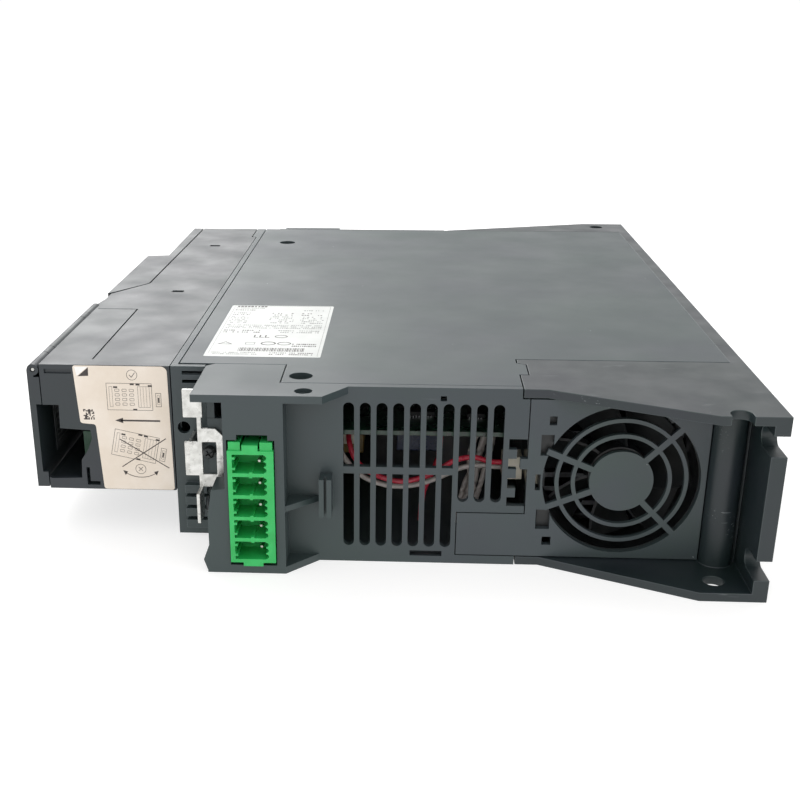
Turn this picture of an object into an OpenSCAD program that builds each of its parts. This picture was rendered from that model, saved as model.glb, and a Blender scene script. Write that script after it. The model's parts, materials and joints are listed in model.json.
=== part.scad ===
// Book-format servo drive, lying on its left side panel.
// X runs from the front (-) to the mounting plate (+), Y from the bottom end (-)
// to the top end (+), Z up through the thickness. All sizes are millimetres.
// The origin is the centre of the left side panel, where the drive rests.

/* [Overall] */
// Depth from the front door to the back of the mounting plate
overall_depth = 245; // [243:0.5:247]
// Height along the mounting plate
overall_height = 325; // [321:0.5:329]
// Thickness across the side panels
overall_width = 62; // [62:0.25:63]

/* [Mounting frame] */
// Thickness of the mounting plate
plate_t = 5; // [4:0.5:5.5]
// Thickness of the gusset wings
wing_t = 3; // [2:0.25:3]
// Distance from the end of the plate to the end faces of the body
end_inset = 23.5; // [22:0.5:25]
// Height of the lower fixing above the left side panel
fixing_low = 11; // [10:0.5:13]
// Distance between the two fixings at one end
fixing_gap = 41.5; // [40:0.5:42]
// Radius of the fixing holes and notches
fixing_r = 3.3; // [2.75:0.05:3.5]
// Distance from the end of the plate to the centre of a fixing
fixing_inset = 9.5; // [9:0.5:10.5]
// Radius of the holes in the gusset wings
gusset_hole_r = 3.4; // [3:0.1:3.6]

/* [Power housing] */
// Thickness of the plastic walls
wall = 2.5; // [2:0.25:2.5]
// Width of the visible joint between two fixed mouldings
seam = 0.4; // [0.3:0.05:0.5]
// Length of the connector shroud beyond the end face
shroud_reach = 11; // [9:0.5:12]

/* [Vents] */
// Number of upright vent slots
vent_count = 10; // [8:1:10]
// Spacing of the vent slots
vent_pitch = 5.4; // [5.2:0.1:5.5]
// Width of a vent slot
vent_w = 3.6; // [3:0.1:3.8]

/* [Connectors] */
// Spacing of the connector ways
way_pitch = 7.62; // [7.5:0.01:7.7]
// Ways in the motor connector
motor_ways = 5; // [4:1:5]
// Ways in the mains connector
mains_ways = 4; // [3:1:4]

/* [Fan] */
// Side of the square fan frame
fan_size = 53; // [52:0.5:53]
// Depth of the fan frame
fan_depth = 20; // [16:1:20]
// Radius of the air opening
fan_open_r = 25.4; // [24:0.1:25.4]
// Number of blades
blades = 7; // [5:1:9]
// Pitch angle of the blades
blade_pitch = 42; // [30:1:50]

/* [Control block] */
// Thickness of the control block
control_w = 45.5; // [44:0.5:46]
// Radius of the jog dial
dial_r = 10; // [8:0.5:10]
// Radius of a key
key_r = 3.4; // [3:0.1:3.6]
// Travel of a key and of the jog dial when pushed
key_travel = 0.6; // [0.4:0.1:0.6]
// Radius of the door hinge pin
pin_r = 0.8; // [0.7:0.05:0.9]

/* [Hidden] */
$fn = 48;

// Outer faces
back_x = overall_depth / 2;
front_x = -back_x;
end_y = overall_height / 2;
top_z = overall_width;
plate_x = back_x - plate_t;
body_y = end_y - end_inset;
shroud_y = body_y + shroud_reach;
fixing_high = fixing_low + fixing_gap;

// Plan of the side panels, seen along Z
panel_front = -70.2;
tray_front = -72.8;
tray_far_front = -75;
tray_step_y = 116;
near_step_y = -115.3;
foot_x = -33.4;
foot_y = -body_y + 3.4;
wing_x = 44.9;
wing_y = -105.3;
tab = [2.6, -123, -111.5];
near_wing_x = 52.5;
far_wing_x = 26;
wing_tip_x = 101.3;
panel_holes = [[-27.5, -128.3], [-55.2, 101.1]];
panel_hole_r = 3.9;
label_x = [-63.8, -22.8];
label_y = [-106.5, -32.5];
label_t = 0.2;

// Bottom end
shroud_x = -60.7;
header_x = [-49.5, -34.6];
header_z = 5;
post_x = [-20.6, -16.5];
vent_x = -11.2;
vent_z = [5.9, 56.6];
short_vent_z = 22.6;
vent_bar = [32, 34.4];
bracket_y = -135;

// Fan cartridge
fan_x = 78;
fan_z = top_z / 2;
cover_x = [47.3, 105.3];
cover_z = [3.4, top_z - 3.4];
cover_tab = [24.9, 18.6];
post_r = 5.4;
hub_r = 10.4;
rings = [[15, 16.3], [20.3, 21.6]];
fan_y = -body_y + wall;
shaft_r = 1.5;
fan_hole = 22.6;
running = 0.05;

// Power electronics
channel_x = 50;
board_z = 43.5;
board_t = 1.6;

// Control block
ctl_z = top_z - control_w;
ctl_x = -118;
ctl_near = -119.5;
ctl_rear = -73.1;
ctl_far_rear = -75.4;
skin = 2.3;
door_y = [-119.3, -31];
cover_face = -119.1;
upper_face = -109.3;
upper_y = 66;
hinge_x = -120.4;
hinge_z = top_z - 2.1;
knuckle_r = 2;
bay_x = -96;
bay_y = -40;
mid_z = (ctl_z + top_z) / 2;
dial_y = 18;
hmi_x = -113;
io_y = -108;
io_pitch = 5.08;
io_rows = [[ctl_z + 3.4, 11], [ctl_z + 21.4, 8]];
key_rear = cover_face + 3;
shaft_rear = -114.1;
rest_gap = 0.3;
keys = [[33, -12], [33, 12], [3, -12], [3, 12]];
led_y = 60.4;

slate = "#3f4a4c";
dark_slate = "#2f383a";
signal_green = "#22c04e";
pcb_green = "#1f6a43";
screw_grey = "#55595c";
cream = "#e6e1d2";
terminal_green = "#2e7d4f";
key_grey = "#9aa0a3";
bare_metal = "#c9ccce";
black_plastic = "#202325";

// A box given by its lowest and highest value along each axis
module block(x, y, z) {
    translate([x[0], y[0], z[0]]) cube([x[1] - x[0], y[1] - y[0], z[1] - z[0]]);
}

// A plan outline raised between two heights
module plate(z) {
    translate([0, 0, z[0]]) linear_extrude(z[1] - z[0]) children();
}

// An outline drawn in X and Z, and thickened from y[0] to y[1]
module upright(y) {
    translate([0, y[1], 0]) rotate([90, 0, 0]) linear_extrude(y[1] - y[0]) children();
}

// Round bars and holes along each axis
module rod_x(r, x, y, z) { translate([x[0], y, z]) rotate([0, 90, 0]) cylinder(r = r, h = x[1] - x[0]); }
module rod_y(r, x, y, z) { translate([x, y[0], z]) rotate([-90, 0, 0]) cylinder(r = r, h = y[1] - y[0]); }
module rod_z(r, x, y, z) { translate([x, y, z[0]]) cylinder(r = r, h = z[1] - z[0]); }

// Round-ended upright slot in an end face
module slot_shape(x, z, w) {
    translate([x, z[0] + w / 2]) circle(d = w);
    translate([x, z[1] - w / 2]) circle(d = w);
    translate([x - w / 2, z[0] + w / 2]) square([w, z[1] - z[0] - w]);
}

// Smooth tube swept along a list of points
function unit(v) = v / norm(v);
function heading(p, i) = unit(p[min(i + 1, len(p) - 1)] - p[max(i - 1, 0)]);
function ring(p, i, r, sides) =
    let (t = heading(p, i), u = unit(cross(t, [0.2, 0.1, 1])), v = cross(t, u))
    [for (k = [0:sides - 1]) p[i] + r * (cos(360 * k / sides) * u + sin(360 * k / sides) * v)];
module tube(path, r, sides = 8) {
    n = len(path);
    polyhedron(
        points = [for (i = [0:n - 1]) each ring(path, i, r, sides)],
        faces = concat(
            [[for (k = [0:sides - 1]) k]],
            [for (i = [0:n - 2], k = [0:sides - 1]) let (a = i * sides, m = (k + 1) % sides)
                [a + k, a + sides + k, a + sides + m, a + m]],
            [[for (k = [sides - 1:-1:0]) (n - 1) * sides + k]]
        )
    );
}

// ---------------------------------------------------------------- power housing

// Wing plan at the bottom end, drawn at its true place
module near_wing_plan() {
    polygon([
        [wing_x, wing_y], [plate_x, wing_y], [plate_x, -end_y], [wing_tip_x, -end_y],
        [near_wing_x, -body_y], [wing_x, -body_y], [wing_x, tab[1] - seam],
        [wing_x + tab[0] + seam, tab[1] - seam], [wing_x + tab[0] + seam, tab[2] + seam],
        [wing_x, tab[2] + 1.6 + seam]
    ]);
}

// Wing plan at the top end
module far_wing_plan() {
    polygon([
        [far_wing_x, body_y - 0.4], [plate_x, body_y - 0.4], [plate_x, end_y], [wing_tip_x, end_y]
    ]);
}

// Both wings of one end, one at each side panel
module wing_pair() {
    plate([0, wing_t]) children();
    plate([top_z - wing_t, top_z]) children();
}

// Back plate with two fixing holes at the top end and two open notches at the bottom end
module mounting_plate() {
    through = [plate_x - 1, back_x + 1];
    hole_y = end_y - fixing_inset;
    color(slate) difference() {
        block([plate_x, back_x], [-end_y, end_y], [0, top_z]);
        for (z = [fixing_low, fixing_high]) {
            rod_x(fixing_r, through, hole_y, z);
            rod_x(fixing_r, through, -hole_y, z);
            block(through, [-end_y - 1, -hole_y], [z - fixing_r, z + fixing_r]);
        }
    }
}

// Four gusset wings: each end has one at each side panel
module gusset_wings() {
    notch_x = back_x - 14.5;
    notch_y = -end_y + 2.8;
    color(slate) difference() {
        union() {
            wing_pair() near_wing_plan();
            wing_pair() far_wing_plan();
        }
        rod_z(gusset_hole_r, back_x - 15, -end_y + 8.8, [-1, wing_t + 1]);
        rod_z(gusset_hole_r, back_x - 15, end_y - fixing_inset, [-1, top_z + 1]);
        rod_z(gusset_hole_r, notch_x, notch_y, [top_z - wing_t - 1, top_z + 1]);
        block([notch_x - gusset_hole_r, notch_x + gusset_hole_r], [-end_y - 1, notch_y],
              [top_z - wing_t - 1, top_z + 1]);
    }
}

// Rounded post and the web that closes the corner beside the fan
module corner_post() {
    color(slate) {
        block([cover_x[1] + seam, plate_x], [-body_y, -body_y + wall], [wing_t, top_z - wing_t]);
        rod_z(post_r, cover_x[1] + post_r + seam, -body_y, [wing_t, top_z - wing_t]);
    }
}

// Finned extrusion in the air channel behind the electronics
module heat_sink() {
    fins = 11;
    fin_t = 1.8;
    low = wing_t + 1;
    pitch = (top_z - 2 * low - fin_t) / (fins - 1);
    color(bare_metal) {
        block([channel_x, channel_x + 7], [-108, 132], [low, top_z - low]);
        for (i = [0:fins - 1])
            block([channel_x + 6, plate_x], [-108, 132], [low + i * pitch, low + i * pitch + fin_t]);
    }
}

// Plan shared by the two side panels; the feet run down beside the vent face
module panel_plan(front) {
    polygon([
        [front, near_step_y], [foot_x, near_step_y], [foot_x, foot_y], [wing_x - seam, foot_y],
        [wing_x - seam, tab[1]], [wing_x + tab[0], tab[1]], [wing_x + tab[0], tab[2]],
        [wing_x - seam, tab[2] + 1.6], [wing_x - seam, wing_y + seam],
        [plate_x, wing_y + seam], [plate_x, body_y - 0.8], [front, body_y - 0.8]
    ]);
}

// Left side panel with the front wall that the control block plugs into
module power_tray() {
    color(slate) difference() {
        union() {
            plate([0, wall]) panel_plan(panel_front);
            block([tray_front, panel_front - seam], [near_step_y - 4, body_y - 0.8], [0, top_z]);
            block([tray_far_front, tray_front], [tray_step_y, body_y - 0.8], [0, top_z]);
            block([tray_front, -61], [near_step_y - 4, near_step_y - 1.6], [0, top_z]);
            block([panel_front - seam - 0.1, panel_front + 0.1], [near_step_y, body_y - 0.8], [0, wall]);
            for (z = [3.5:4.4:17]) block([-69.4, -61.7], [near_step_y - 7, near_step_y - 3], [z, z + 3]);
        }
        block([tray_front - 1, panel_front], [10, 70], [24, 42]);
        rod_y(2.2, -69.2, [near_step_y - 8, near_step_y], 40);
        block([-69, -61.5], [near_step_y - 8, near_step_y], [59, 60.3]);
        block([-69, -61.5], [near_step_y - 8, near_step_y], [56, 57.2]);
    }
}

// Right side panel, set flush between the frame and the end caps
module side_panel() {
    color(slate) difference() {
        plate([top_z - wall, top_z]) panel_plan(panel_front);
        for (p = panel_holes) rod_z(panel_hole_r, p[0], p[1], [top_z - wall - 1, top_z + 1]);
        block(label_x, label_y, [top_z - label_t, top_z + 1]);
    }
}

// Outline of the removable fan cover, in X and Z, grown by a margin
module fan_cover_plan(grow) {
    translate([cover_x[0] - grow, cover_z[0] - grow])
        square([cover_x[1] - cover_x[0] + 2 * grow, cover_z[1] - cover_z[0] + 2 * grow]);
    translate([cover_tab[0] - grow, cover_z[0] - grow])
        square([cover_x[0] - cover_tab[0] + 2 * grow, cover_tab[1] - cover_z[0] + 2 * grow]);
}

// Ten upright slots with the cross bar left over the longer ones
module vent_slots() {
    for (i = [0:vent_count - 1]) {
        x = vent_x + i * vent_pitch;
        if (i < 7) {
            difference() {
                slot_shape(x, vent_z, vent_w);
                translate([x - vent_w, vent_bar[0]]) square([2 * vent_w, vent_bar[1] - vent_bar[0]]);
            }
        } else slot_shape(x, [short_vent_z, vent_z[1]], vent_w);
    }
}

// Castellated window beside the fan cover
module castellation() {
    difference() {
        translate([41, 21.5]) square([8, 23.5]);
        for (z = [24.6, 31.4, 38.2]) translate([40.5, z]) square([3.2, 3.2]);
    }
}

// Bottom end: vent face, connector shroud and the strips beside the side panels
module bottom_end_cap() {
    edge = wing_x - seam;
    color(slate) difference() {
        union() {
            upright([-body_y, -body_y + wall]) difference() {
                translate([shroud_x + 9.9, 0]) square([cover_x[0] - shroud_x - 9.9, top_z]);
                translate([edge, top_z - wing_t - seam]) square([5, 5]);
                translate([edge, -1]) square([5, wing_t + 1 + seam]);
                fan_cover_plan(0.35);
            }
            plate([top_z - wall, top_z]) polygon([
                [shroud_x, -shroud_y], [-19, -shroud_y], [-11.3, -body_y], [edge, -body_y],
                [edge, foot_y - seam], [foot_x - seam, foot_y - seam],
                [foot_x - seam, near_step_y - seam], [-58, near_step_y - seam], [shroud_x, near_step_y - 3]
            ]);
            plate([0, wall]) polygon([
                [-57.5, -shroud_y], [-31.4, -shroud_y], [-21, -body_y], [edge, -body_y],
                [edge, foot_y - seam], [foot_x - seam, foot_y - seam],
                [foot_x - seam, near_step_y - seam], [-57.5, near_step_y - seam]
            ]);
            upright([-shroud_y, -body_y + 1]) polygon([
                [-31.4, 0], [-31.4, top_z - 1], [-50.8, top_z - 1], [-50.8, 30], [-55.4, 29.4],
                [-56.8, 20.5], [-56.8, 10], [-58.8, 4.6], [-57.6, 1], [-56, 0]
            ]);
            block([-57, -54.7], [-body_y, near_step_y - seam], [wall, 24]);
            block([-58.2, -55.7], [bracket_y + 0.2, near_step_y - seam], [wall, top_z - wall]);
            block([-58.2, -50.8], [bracket_y, bracket_y + wall], [23, 49]);
            plate([22, 24]) polygon([[-31.5, -shroud_y + 0.6], [-20.6, -body_y], [-31.5, -body_y]]);
            block(post_x, [-body_y - 7, -body_y], [18.9, 32.2]);
        }
        block([header_x[0] - 0.3, header_x[1] + 0.3], [-shroud_y - 1, -body_y + wall + 1], [2.9, 47]);
        block([-46.5, -36.5], [-shroud_y - 1, -shroud_y + 6], [46.5, 48.8]);
        translate([0, -body_y + wall + 1, 0]) rotate([90, 0, 0]) linear_extrude(wall + 2) vent_slots();
        translate([0, -body_y + wall + 1, 0]) rotate([90, 0, 0]) linear_extrude(wall + 2) castellation();
        block([18.4, 20.4], [-body_y - 1, -body_y + wall + 1], [57.5, 59.2]);
        block([9.4, 20.2], [-body_y - 1, -body_y + wall + 1], [wall, 4.4]);
        rod_z(2.9, -25.3, -body_y - 5.5, [top_z - 1.4, top_z + 1]);
        block([-19, -18.1], [-body_y - 8, -body_y - 4], [18, 33]);
    }
}

// Top end: air outlet and mains connector shroud
module top_end_cap() {
    color(slate) difference() {
        union() {
            block([-63, plate_x], [body_y - wall + 0.4, body_y], [wing_t + seam, top_z - wing_t - seam]);
            block([-63, far_wing_x - 1], [body_y - 0.4, body_y], [0, top_z]);
            block([-60, -31], [body_y - 0.4, body_y + 4], [0, top_z]);
        }
        block([header_x[0] - 0.3, header_x[1] + 0.3], [body_y - 5, body_y + 5], [8.2, 44.6]);
        translate([0, body_y + 1, 0]) rotate([90, 0, 0]) linear_extrude(wall + 2)
            for (i = [0:22]) slot_shape(-16 + i * vent_pitch, [8, top_z - 8], vent_w - 0.4);
    }
}

// ---------------------------------------------------------------- connectors

// Pluggable connector header: shell, cells, latch tabs and polarising lobes.
// It is drawn with its mouth towards -Y and its lowest corner at the origin.
module header(ways, depth) {
    w = header_x[1] - header_x[0];
    h = ways * way_pitch;
    rim = 1.5;
    floor_t = 2.4;
    difference() {
        union() {
            block([0, w], [0, depth], [-0.6, h + 0.6]);
            for (x = [[0.4, 4.2], [w - 4.4, w - 0.4]]) block(x, [0.6, depth], [h, h + 3.4]);
            block([4.8, w - 5], [0, depth], [h, h + 2.6]);
            block([4.2, w - 4.2], [0, depth], [-1.9, 0]);
        }
        for (i = [0:ways - 1]) {
            low = i * way_pitch + 0.6;
            block([rim, w - rim - 1.6], [-1, depth - floor_t], [low, low + way_pitch - 1.2]);
            for (k = [0:2]) rod_y(0.85, w - rim - 1.6, [-1, depth - floor_t], low + 1.1 + k * 2.1);
        }
    }
    for (i = [0:ways - 1]) {
        low = i * way_pitch;
        block([rim - 0.2, rim + 0.9], [0.2, depth - floor_t], [low + 1.6, low + 2.4]);
        block([rim - 0.2, rim + 0.9], [0.2, depth - floor_t], [low + 5.2, low + 6]);
    }
    for (i = [1:ways - 1]) block([w / 2 - 0.5, w / 2 + 0.5], [0, depth - floor_t], [i * way_pitch - 1, i * way_pitch + 1]);
}

// One post or hole for each way of a header, from y[0] to y[1]
module way_posts(ways, y, half) {
    for (i = [0:ways - 1])
        block([pin_x - half, pin_x + half], y, [(i + 0.5) * way_pitch - half, (i + 0.5) * way_pitch + half]);
}

header_depth = shroud_reach + 1.5;
pin_x = 10;
pin_half = 0.6;
pin_hole_half = 0.7;

module drilled_header(ways) {
    color(signal_green) difference() {
        header(ways, header_depth);
        way_posts(ways, [header_depth - 4, header_depth + 1], pin_hole_half);
    }
}
module header_board(ways) {
    y = [header_depth + 0.2, header_depth + 0.2 + board_t];
    color(pcb_green) difference() {
        block([0, 14.8], y, [-1, ways * way_pitch + 2]);
        way_posts(ways, [y[0] - 1, y[1] + 1], pin_hole_half);
    }
}

// Place of the motor connector at the bottom end, and of the mains connector at the top end
module at_bottom_end() { translate([header_x[0], -shroud_y - 1.2, header_z]) children(); }
module at_top_end() {
    translate([header_x[0] + header_x[1], 0, 0]) rotate([0, 0, 180])
        translate([header_x[0], -body_y - 5, 10.4]) children();
}

module motor_header() { at_bottom_end() drilled_header(motor_ways); }
module mains_header() { at_top_end() drilled_header(mains_ways); }
module connector_pins() {
    color(bare_metal) {
        at_bottom_end() way_posts(motor_ways, [3, header_depth + 3], pin_half);
        at_top_end() way_posts(mains_ways, [3, header_depth + 3], pin_half);
    }
}
module connector_boards() {
    at_bottom_end() header_board(motor_ways);
    at_top_end() header_board(mains_ways);
}

// Pressed earth bracket: clamp ring, two tabs, neck and a folded leaf
module grounding_bracket() {
    color(bare_metal) {
        upright([bracket_y - 1.2, bracket_y]) difference() {
            polygon([
                [-66, 49.5], [-61.5, 49.5], [-61.5, 41], [-66, 41], [-66, 29], [-61.5, 29], [-61.5, 25],
                [-54.6, 25], [-53, 26.8], [-53, 43.4], [-55.4, 45.8], [-60, 45.8], [-60, 49.5],
                [-59.5, 49.5], [-59.5, 59.2], [-66, 59.2]
            ]);
            translate([-60, 29.5]) square([4.6, 11.4]);
        }
        block([-61.5, -60.3], [bracket_y - 8, bracket_y], [14.5, 25]);
        block([-66, -64.8], [bracket_y - 0.1, near_step_y - 4], [31, 39]);
    }
}
module screw_head(r, h) {
    difference() {
        cylinder(r = r, h = h);
        for (a = [0, 90]) rotate(a) translate([-r * 0.65, -r * 0.12, h - 0.9]) cube([r * 1.3, r * 0.24, 2]);
    }
}
module bracket_screws() {
    color(screw_grey) {
        translate([-57.7, bracket_y, 37.5]) rotate([90, 0, 0]) screw_head(2, 3);
        translate([-60.3, bracket_y - 4.5, 20.5]) rotate([0, 90, 0]) screw_head(2.6, 3);
    }
}

// Two deep screws that hold the side panel
module case_screws() {
    color(screw_grey) for (p = panel_holes) translate([p[0], p[1], board_z + 4]) {
        screw_head(3.2, 2.6);
        translate([0, 0, -2]) cylinder(r = 1.7, h = 2.1);
    }
}
module nameplate() { color("#e9e9e4") block(label_x, label_y, [top_z - label_t, top_z]); }

// ---------------------------------------------------------------- power electronics

module power_board() {
    color(pcb_green) difference() {
        union() {
            block([-66, channel_x - 1], [-112, 126], [board_z, board_z + board_t]);
            block([-28, 43], [-133, -112], [board_z, board_z + board_t]);
        }
        for (p = panel_holes) rod_z(1.8, p[0], p[1], [board_z - 1, board_z + board_t + 1]);
    }
}

capacitor_spots = [for (x = [-48, -19], y = [36, 66]) [x, y]];
module dc_capacitors() {
    color("#26313b") for (p = capacitor_spots) translate([p[0], p[1], 5]) rotate_extrude()
        polygon([[0, 0], [12.4, 0], [13, 0.8], [13, 34], [12.2, 34.8], [12.2, 36], [13, 36.8], [13, 38.4], [0, 38.4]]);
}
module power_module() {
    color("#2b2b2d") {
        block([38, channel_x], [4, 78], [9, 37]);
        for (y = [10:6:72]) block([34, 39], [y, y + 2], [20, 22]);
    }
}
module filter_choke() {
    color("#a5562a") translate([-46, -62, 23]) rotate([0, 90, 0]) rotate_extrude() translate([11, 0]) circle(r = 5.5);
}
module film_capacitors() {
    color("#c9a227") for (y = [-96, -20]) block([-20, -8], [y, y + 27], [23, board_z]);
}
module relays() {
    color("#1d3f7a") for (y = [-98, -74]) block([4, 20], [y, y + 20], [25, board_z]);
}
module transformer() {
    color("#3a3a3c") {
        block([0, 26], [96, 122], [12, board_z]);
        block([-4, 30], [101, 117], [16, 38]);
    }
}
module board_plug() { color(cream) block([-19, -9], [-122, -114], [36, board_z]); }
module fan_socket() { color(cream) block([40, 46.6], [-129, -121], [27, 35]); }

// Leads from the power board to the fan socket, hanging in a shallow bow
red_route = [
    [-12, -122.1, 39.5], [-12, -124, 39.5], [-11.5, -126, 37.5], [-10, -128.5, 34], [-6, -130, 30], [0, -131, 27.5], [6, -131.5, 26.5],
    [12, -131, 27.5], [18, -130, 30], [24, -128, 33], [30, -127, 34], [35, -126.3, 32.5], [37.5, -126, 32], [39.9, -126, 32]
];
grey_route = [
    [-16, -122.1, 39.5], [-16, -124, 39.5], [-15, -126.5, 37], [-13, -128, 33], [-8, -129.5, 28], [-1, -129, 24.5], [6, -128.5, 23.5],
    [13, -128, 24.5], [20, -127, 27], [27, -125, 29.5], [34, -124, 30], [37.5, -124, 29.6], [39.9, -124, 29.6]
];
module fan_lead_red() { color("#d0304e") tube(red_route, 0.9); }
module fan_lead_grey() { color("#a7a8a6") tube(grey_route, 0.9); }

// Socket in the front wall for the control block's plug
module power_socket() {
    color(black_plastic) difference() {
        block([-70, -62], [14, 66], [27, 39]);
        block([-71, -64], [16, 64], [28.6, 37.4]);
    }
}

// ---------------------------------------------------------------- fan cartridge

// Removable cover with the round guard, on the bottom end
module fan_cover() {
    color(slate) {
        upright([-body_y, -body_y + wall]) difference() {
            union() {
                fan_cover_plan(0);
                translate([cover_x[0] - 2.4, 34.6]) square([3, 3.6]);
            }
            translate([fan_x, fan_z]) circle(r = fan_open_r + 0.2);
            for (w = [[51.3, 39.5, 4.2, 7.2], [50.1, 27.3, 1.7, 5.6], [51, 13.4, 4.6, 7], [53.4, 7.6, 3, 3],
                      [53.6, 50, 2.4, 3]])
                translate([w[0], w[1]]) square([w[2], w[3]]);
        }
        for (r = rings) translate([fan_x, -body_y, fan_z]) rotate([-90, 0, 0]) difference() {
            cylinder(r = r[1], h = 1.8);
            translate([0, 0, -1]) cylinder(r = r[0], h = 4);
        }
        rod_y(hub_r, fan_x, [-body_y, -body_y + 1.8], fan_z);
        for (a = [45, 158, 202, 315]) translate([fan_x, -body_y, fan_z]) rotate([0, -a, 0])
            block([hub_r - 0.5, fan_open_r + 1], [0, 1.6], [-1, 1]);
    }
}

// Square frame with the bearing spider behind the rotor
module fan_frame() {
    far = fan_y + fan_depth;
    color(black_plastic) difference() {
        union() {
            difference() {
                block([fan_x - fan_size / 2, fan_x + fan_size / 2], [fan_y, far],
                      [fan_z - fan_size / 2, fan_z + fan_size / 2]);
                rod_y(fan_open_r, fan_x, [fan_y - 1, far + 1], fan_z);
            }
            rod_y(9.6, fan_x, [far - 2.6, far - 0.1], fan_z);
            for (a = [30, 150, 270]) translate([fan_x, far - 2.4, fan_z]) rotate([0, -a, 0])
                block([8, fan_open_r + 0.6], [0, 2], [-1.3, 1.3]);
        }
        rod_y(shaft_r + running, fan_x, [far - 4, far + 1], fan_z);
        for (x = [-1, 1], z = [-1, 1]) rod_y(1.7, fan_x + x * fan_hole, [fan_y - 1, far + 1], fan_z + z * fan_hole);
    }
}
module fan_screws() {
    color(bare_metal) for (x = [-1, 1], z = [-1, 1])
        translate([fan_x + x * fan_hole, fan_y + fan_depth, fan_z + z * fan_hole]) rotate([-90, 0, 0]) screw_head(2.6, 1.8);
}
module fan_plug() { color(cream) block([cover_x[0] + 0.4, fan_x - fan_size / 2], [-133, -121], [27, 35]); }

// Hub, shaft and pitched blades
module fan_rotor() {
    near = fan_y + 2;
    depth = fan_depth - 6;
    blade_root = hub_r - 1.4;
    color("#2a2d2f") {
        rod_y(hub_r, fan_x, [near, near + depth], fan_z);
        rod_y(shaft_r, fan_x, [near + depth - 0.1, fan_y + fan_depth - 0.4], fan_z);
        for (i = [0:blades - 1]) translate([fan_x, near + depth / 2, fan_z]) rotate([0, 360 * i / blades, 0])
            rotate([blade_pitch, 0, 0]) block([blade_root, fan_open_r - 1.2], [-7.5, 7.5], [-0.6, 0.6]);
    }
}

// ---------------------------------------------------------------- control block

// Plan of the control block behind the door and the front cover, drawn in by a wall
module control_plan(inset) {
    far = body_y - 1 - inset;
    step = tray_step_y - 1 - inset;
    slope = inset > 0 ? [-17.6, 4.4] : [-15.4, 5];
    polygon([
        [ctl_rear - inset, ctl_near + inset], [ctl_x + inset, ctl_near + inset], [ctl_x + inset, slope[0]],
        [-105.6 + inset, slope[1]], [-103.9 + inset, far], [ctl_far_rear - inset, far],
        [ctl_far_rear - inset, step], [ctl_rear - inset, step]
    ]);
}

// Mouth through which the control cables leave, in X and Z
module cable_mouth() {
    polygon([
        [-125, 47.5], [-112.4, 47.5], [-112.6, 39], [-102, 38.4], [-101.7, 35.5], [-103.4, 31.2],
        [-106, 27.4], [-106.4, 20.6], [-117.2, 20.2], [-125, 24]
    ]);
}

module control_housing() {
    color(slate) difference() {
        union() {
            difference() {
                plate([ctl_z, top_z]) control_plan(0);
                plate([ctl_z + skin, top_z - skin]) control_plan(skin);
            }
            for (y = [[-103.6, -96.4], [-54, -46.8]]) {
                rod_y(knuckle_r, hinge_x, y, hinge_z);
                block([hinge_x, ctl_x + 1], y, [hinge_z - 1.5, hinge_z + 1.2]);
            }
        }
        block([ctl_x - 1, ctl_x + skin + 1], [ctl_near + skin, bay_y - 2], [ctl_z + skin, top_z - 4.4]);
        upright([ctl_near - 1, ctl_near + skin + 1]) cable_mouth();
        block([-107, -100], [14, body_y - 8], [ctl_z + skin + 2, top_z - skin - 2]);
        rod_y(pin_r, hinge_x, [door_y[0] - 1, -30], hinge_z);
        block([ctl_rear - skin - 1, ctl_rear + 1], [12, 68], [25, 41]);
        for (y = [-11, 89]) block([-93.2, -88.2], [y, y + 3], [top_z - skin - 1, top_z + 1]);
        block([-101.4, -100.8], [-112.6, -41], [top_z - 0.6, top_z + 1]);
        block([-117, -100.8], [-41.6, -41], [top_z - 0.4, top_z + 1]);
        block([-116.4, -107], [ctl_near - 1, ctl_near + 0.8], [58.8, 60.4]);
        block([-104.6, -103.4], [ctl_near - 1, ctl_near + skin + 1], [18, 24.6]);
        block([-103.5, -100], [ctl_near - 1, ctl_near + skin + 1], [18, 19.4]);
    }
}

// Tray around the terminals behind the door
module bay_liner() {
    low = ctl_z + skin;
    high = top_z - skin;
    color(dark_slate) {
        block([bay_x, bay_x + 1.6], [ctl_near + skin, bay_y], [low, high]);
        block([ctl_x + skin + 1.4, bay_x + 0.1], [bay_y - 1.6, bay_y], [low, high]);
    }
}

// Moulded front with the display, keys and jog dial
module front_cover() {
    near = -14.6;
    far = body_y - 1;
    color(slate) difference() {
        plate([ctl_z, top_z]) polygon([
            [-119.6, near], [-117.6, -12.2], [-106.3, 5.2], [-104.6, far],
            [upper_face, far], [upper_face, upper_y], [cover_face, upper_y - 2]
        ]);
        plate([ctl_z + skin, top_z - skin]) polygon([
            [-117, -7.6], [-107.8, 6.6], [-104, 10], [-103, far - skin], [upper_face + 2, far - skin],
            [upper_face + 2, upper_y - 2], [cover_face + 2, upper_y - 4]
        ]);
        rod_x(dial_r + 0.4, [cover_face - 1, cover_face + 3], dial_y, mid_z);
        for (k = keys) rod_x(key_r + 0.3, [cover_face - 1, cover_face + 3], k[0], mid_z + k[1]);
        block([cover_face - 1, cover_face + 3], [40, 58], [mid_z - 17, mid_z + 17]);
        for (k = [-1:1]) rod_x(1.3, [cover_face - 1, cover_face + 3], led_y, mid_z + 8 * k);
    }
}

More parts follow.
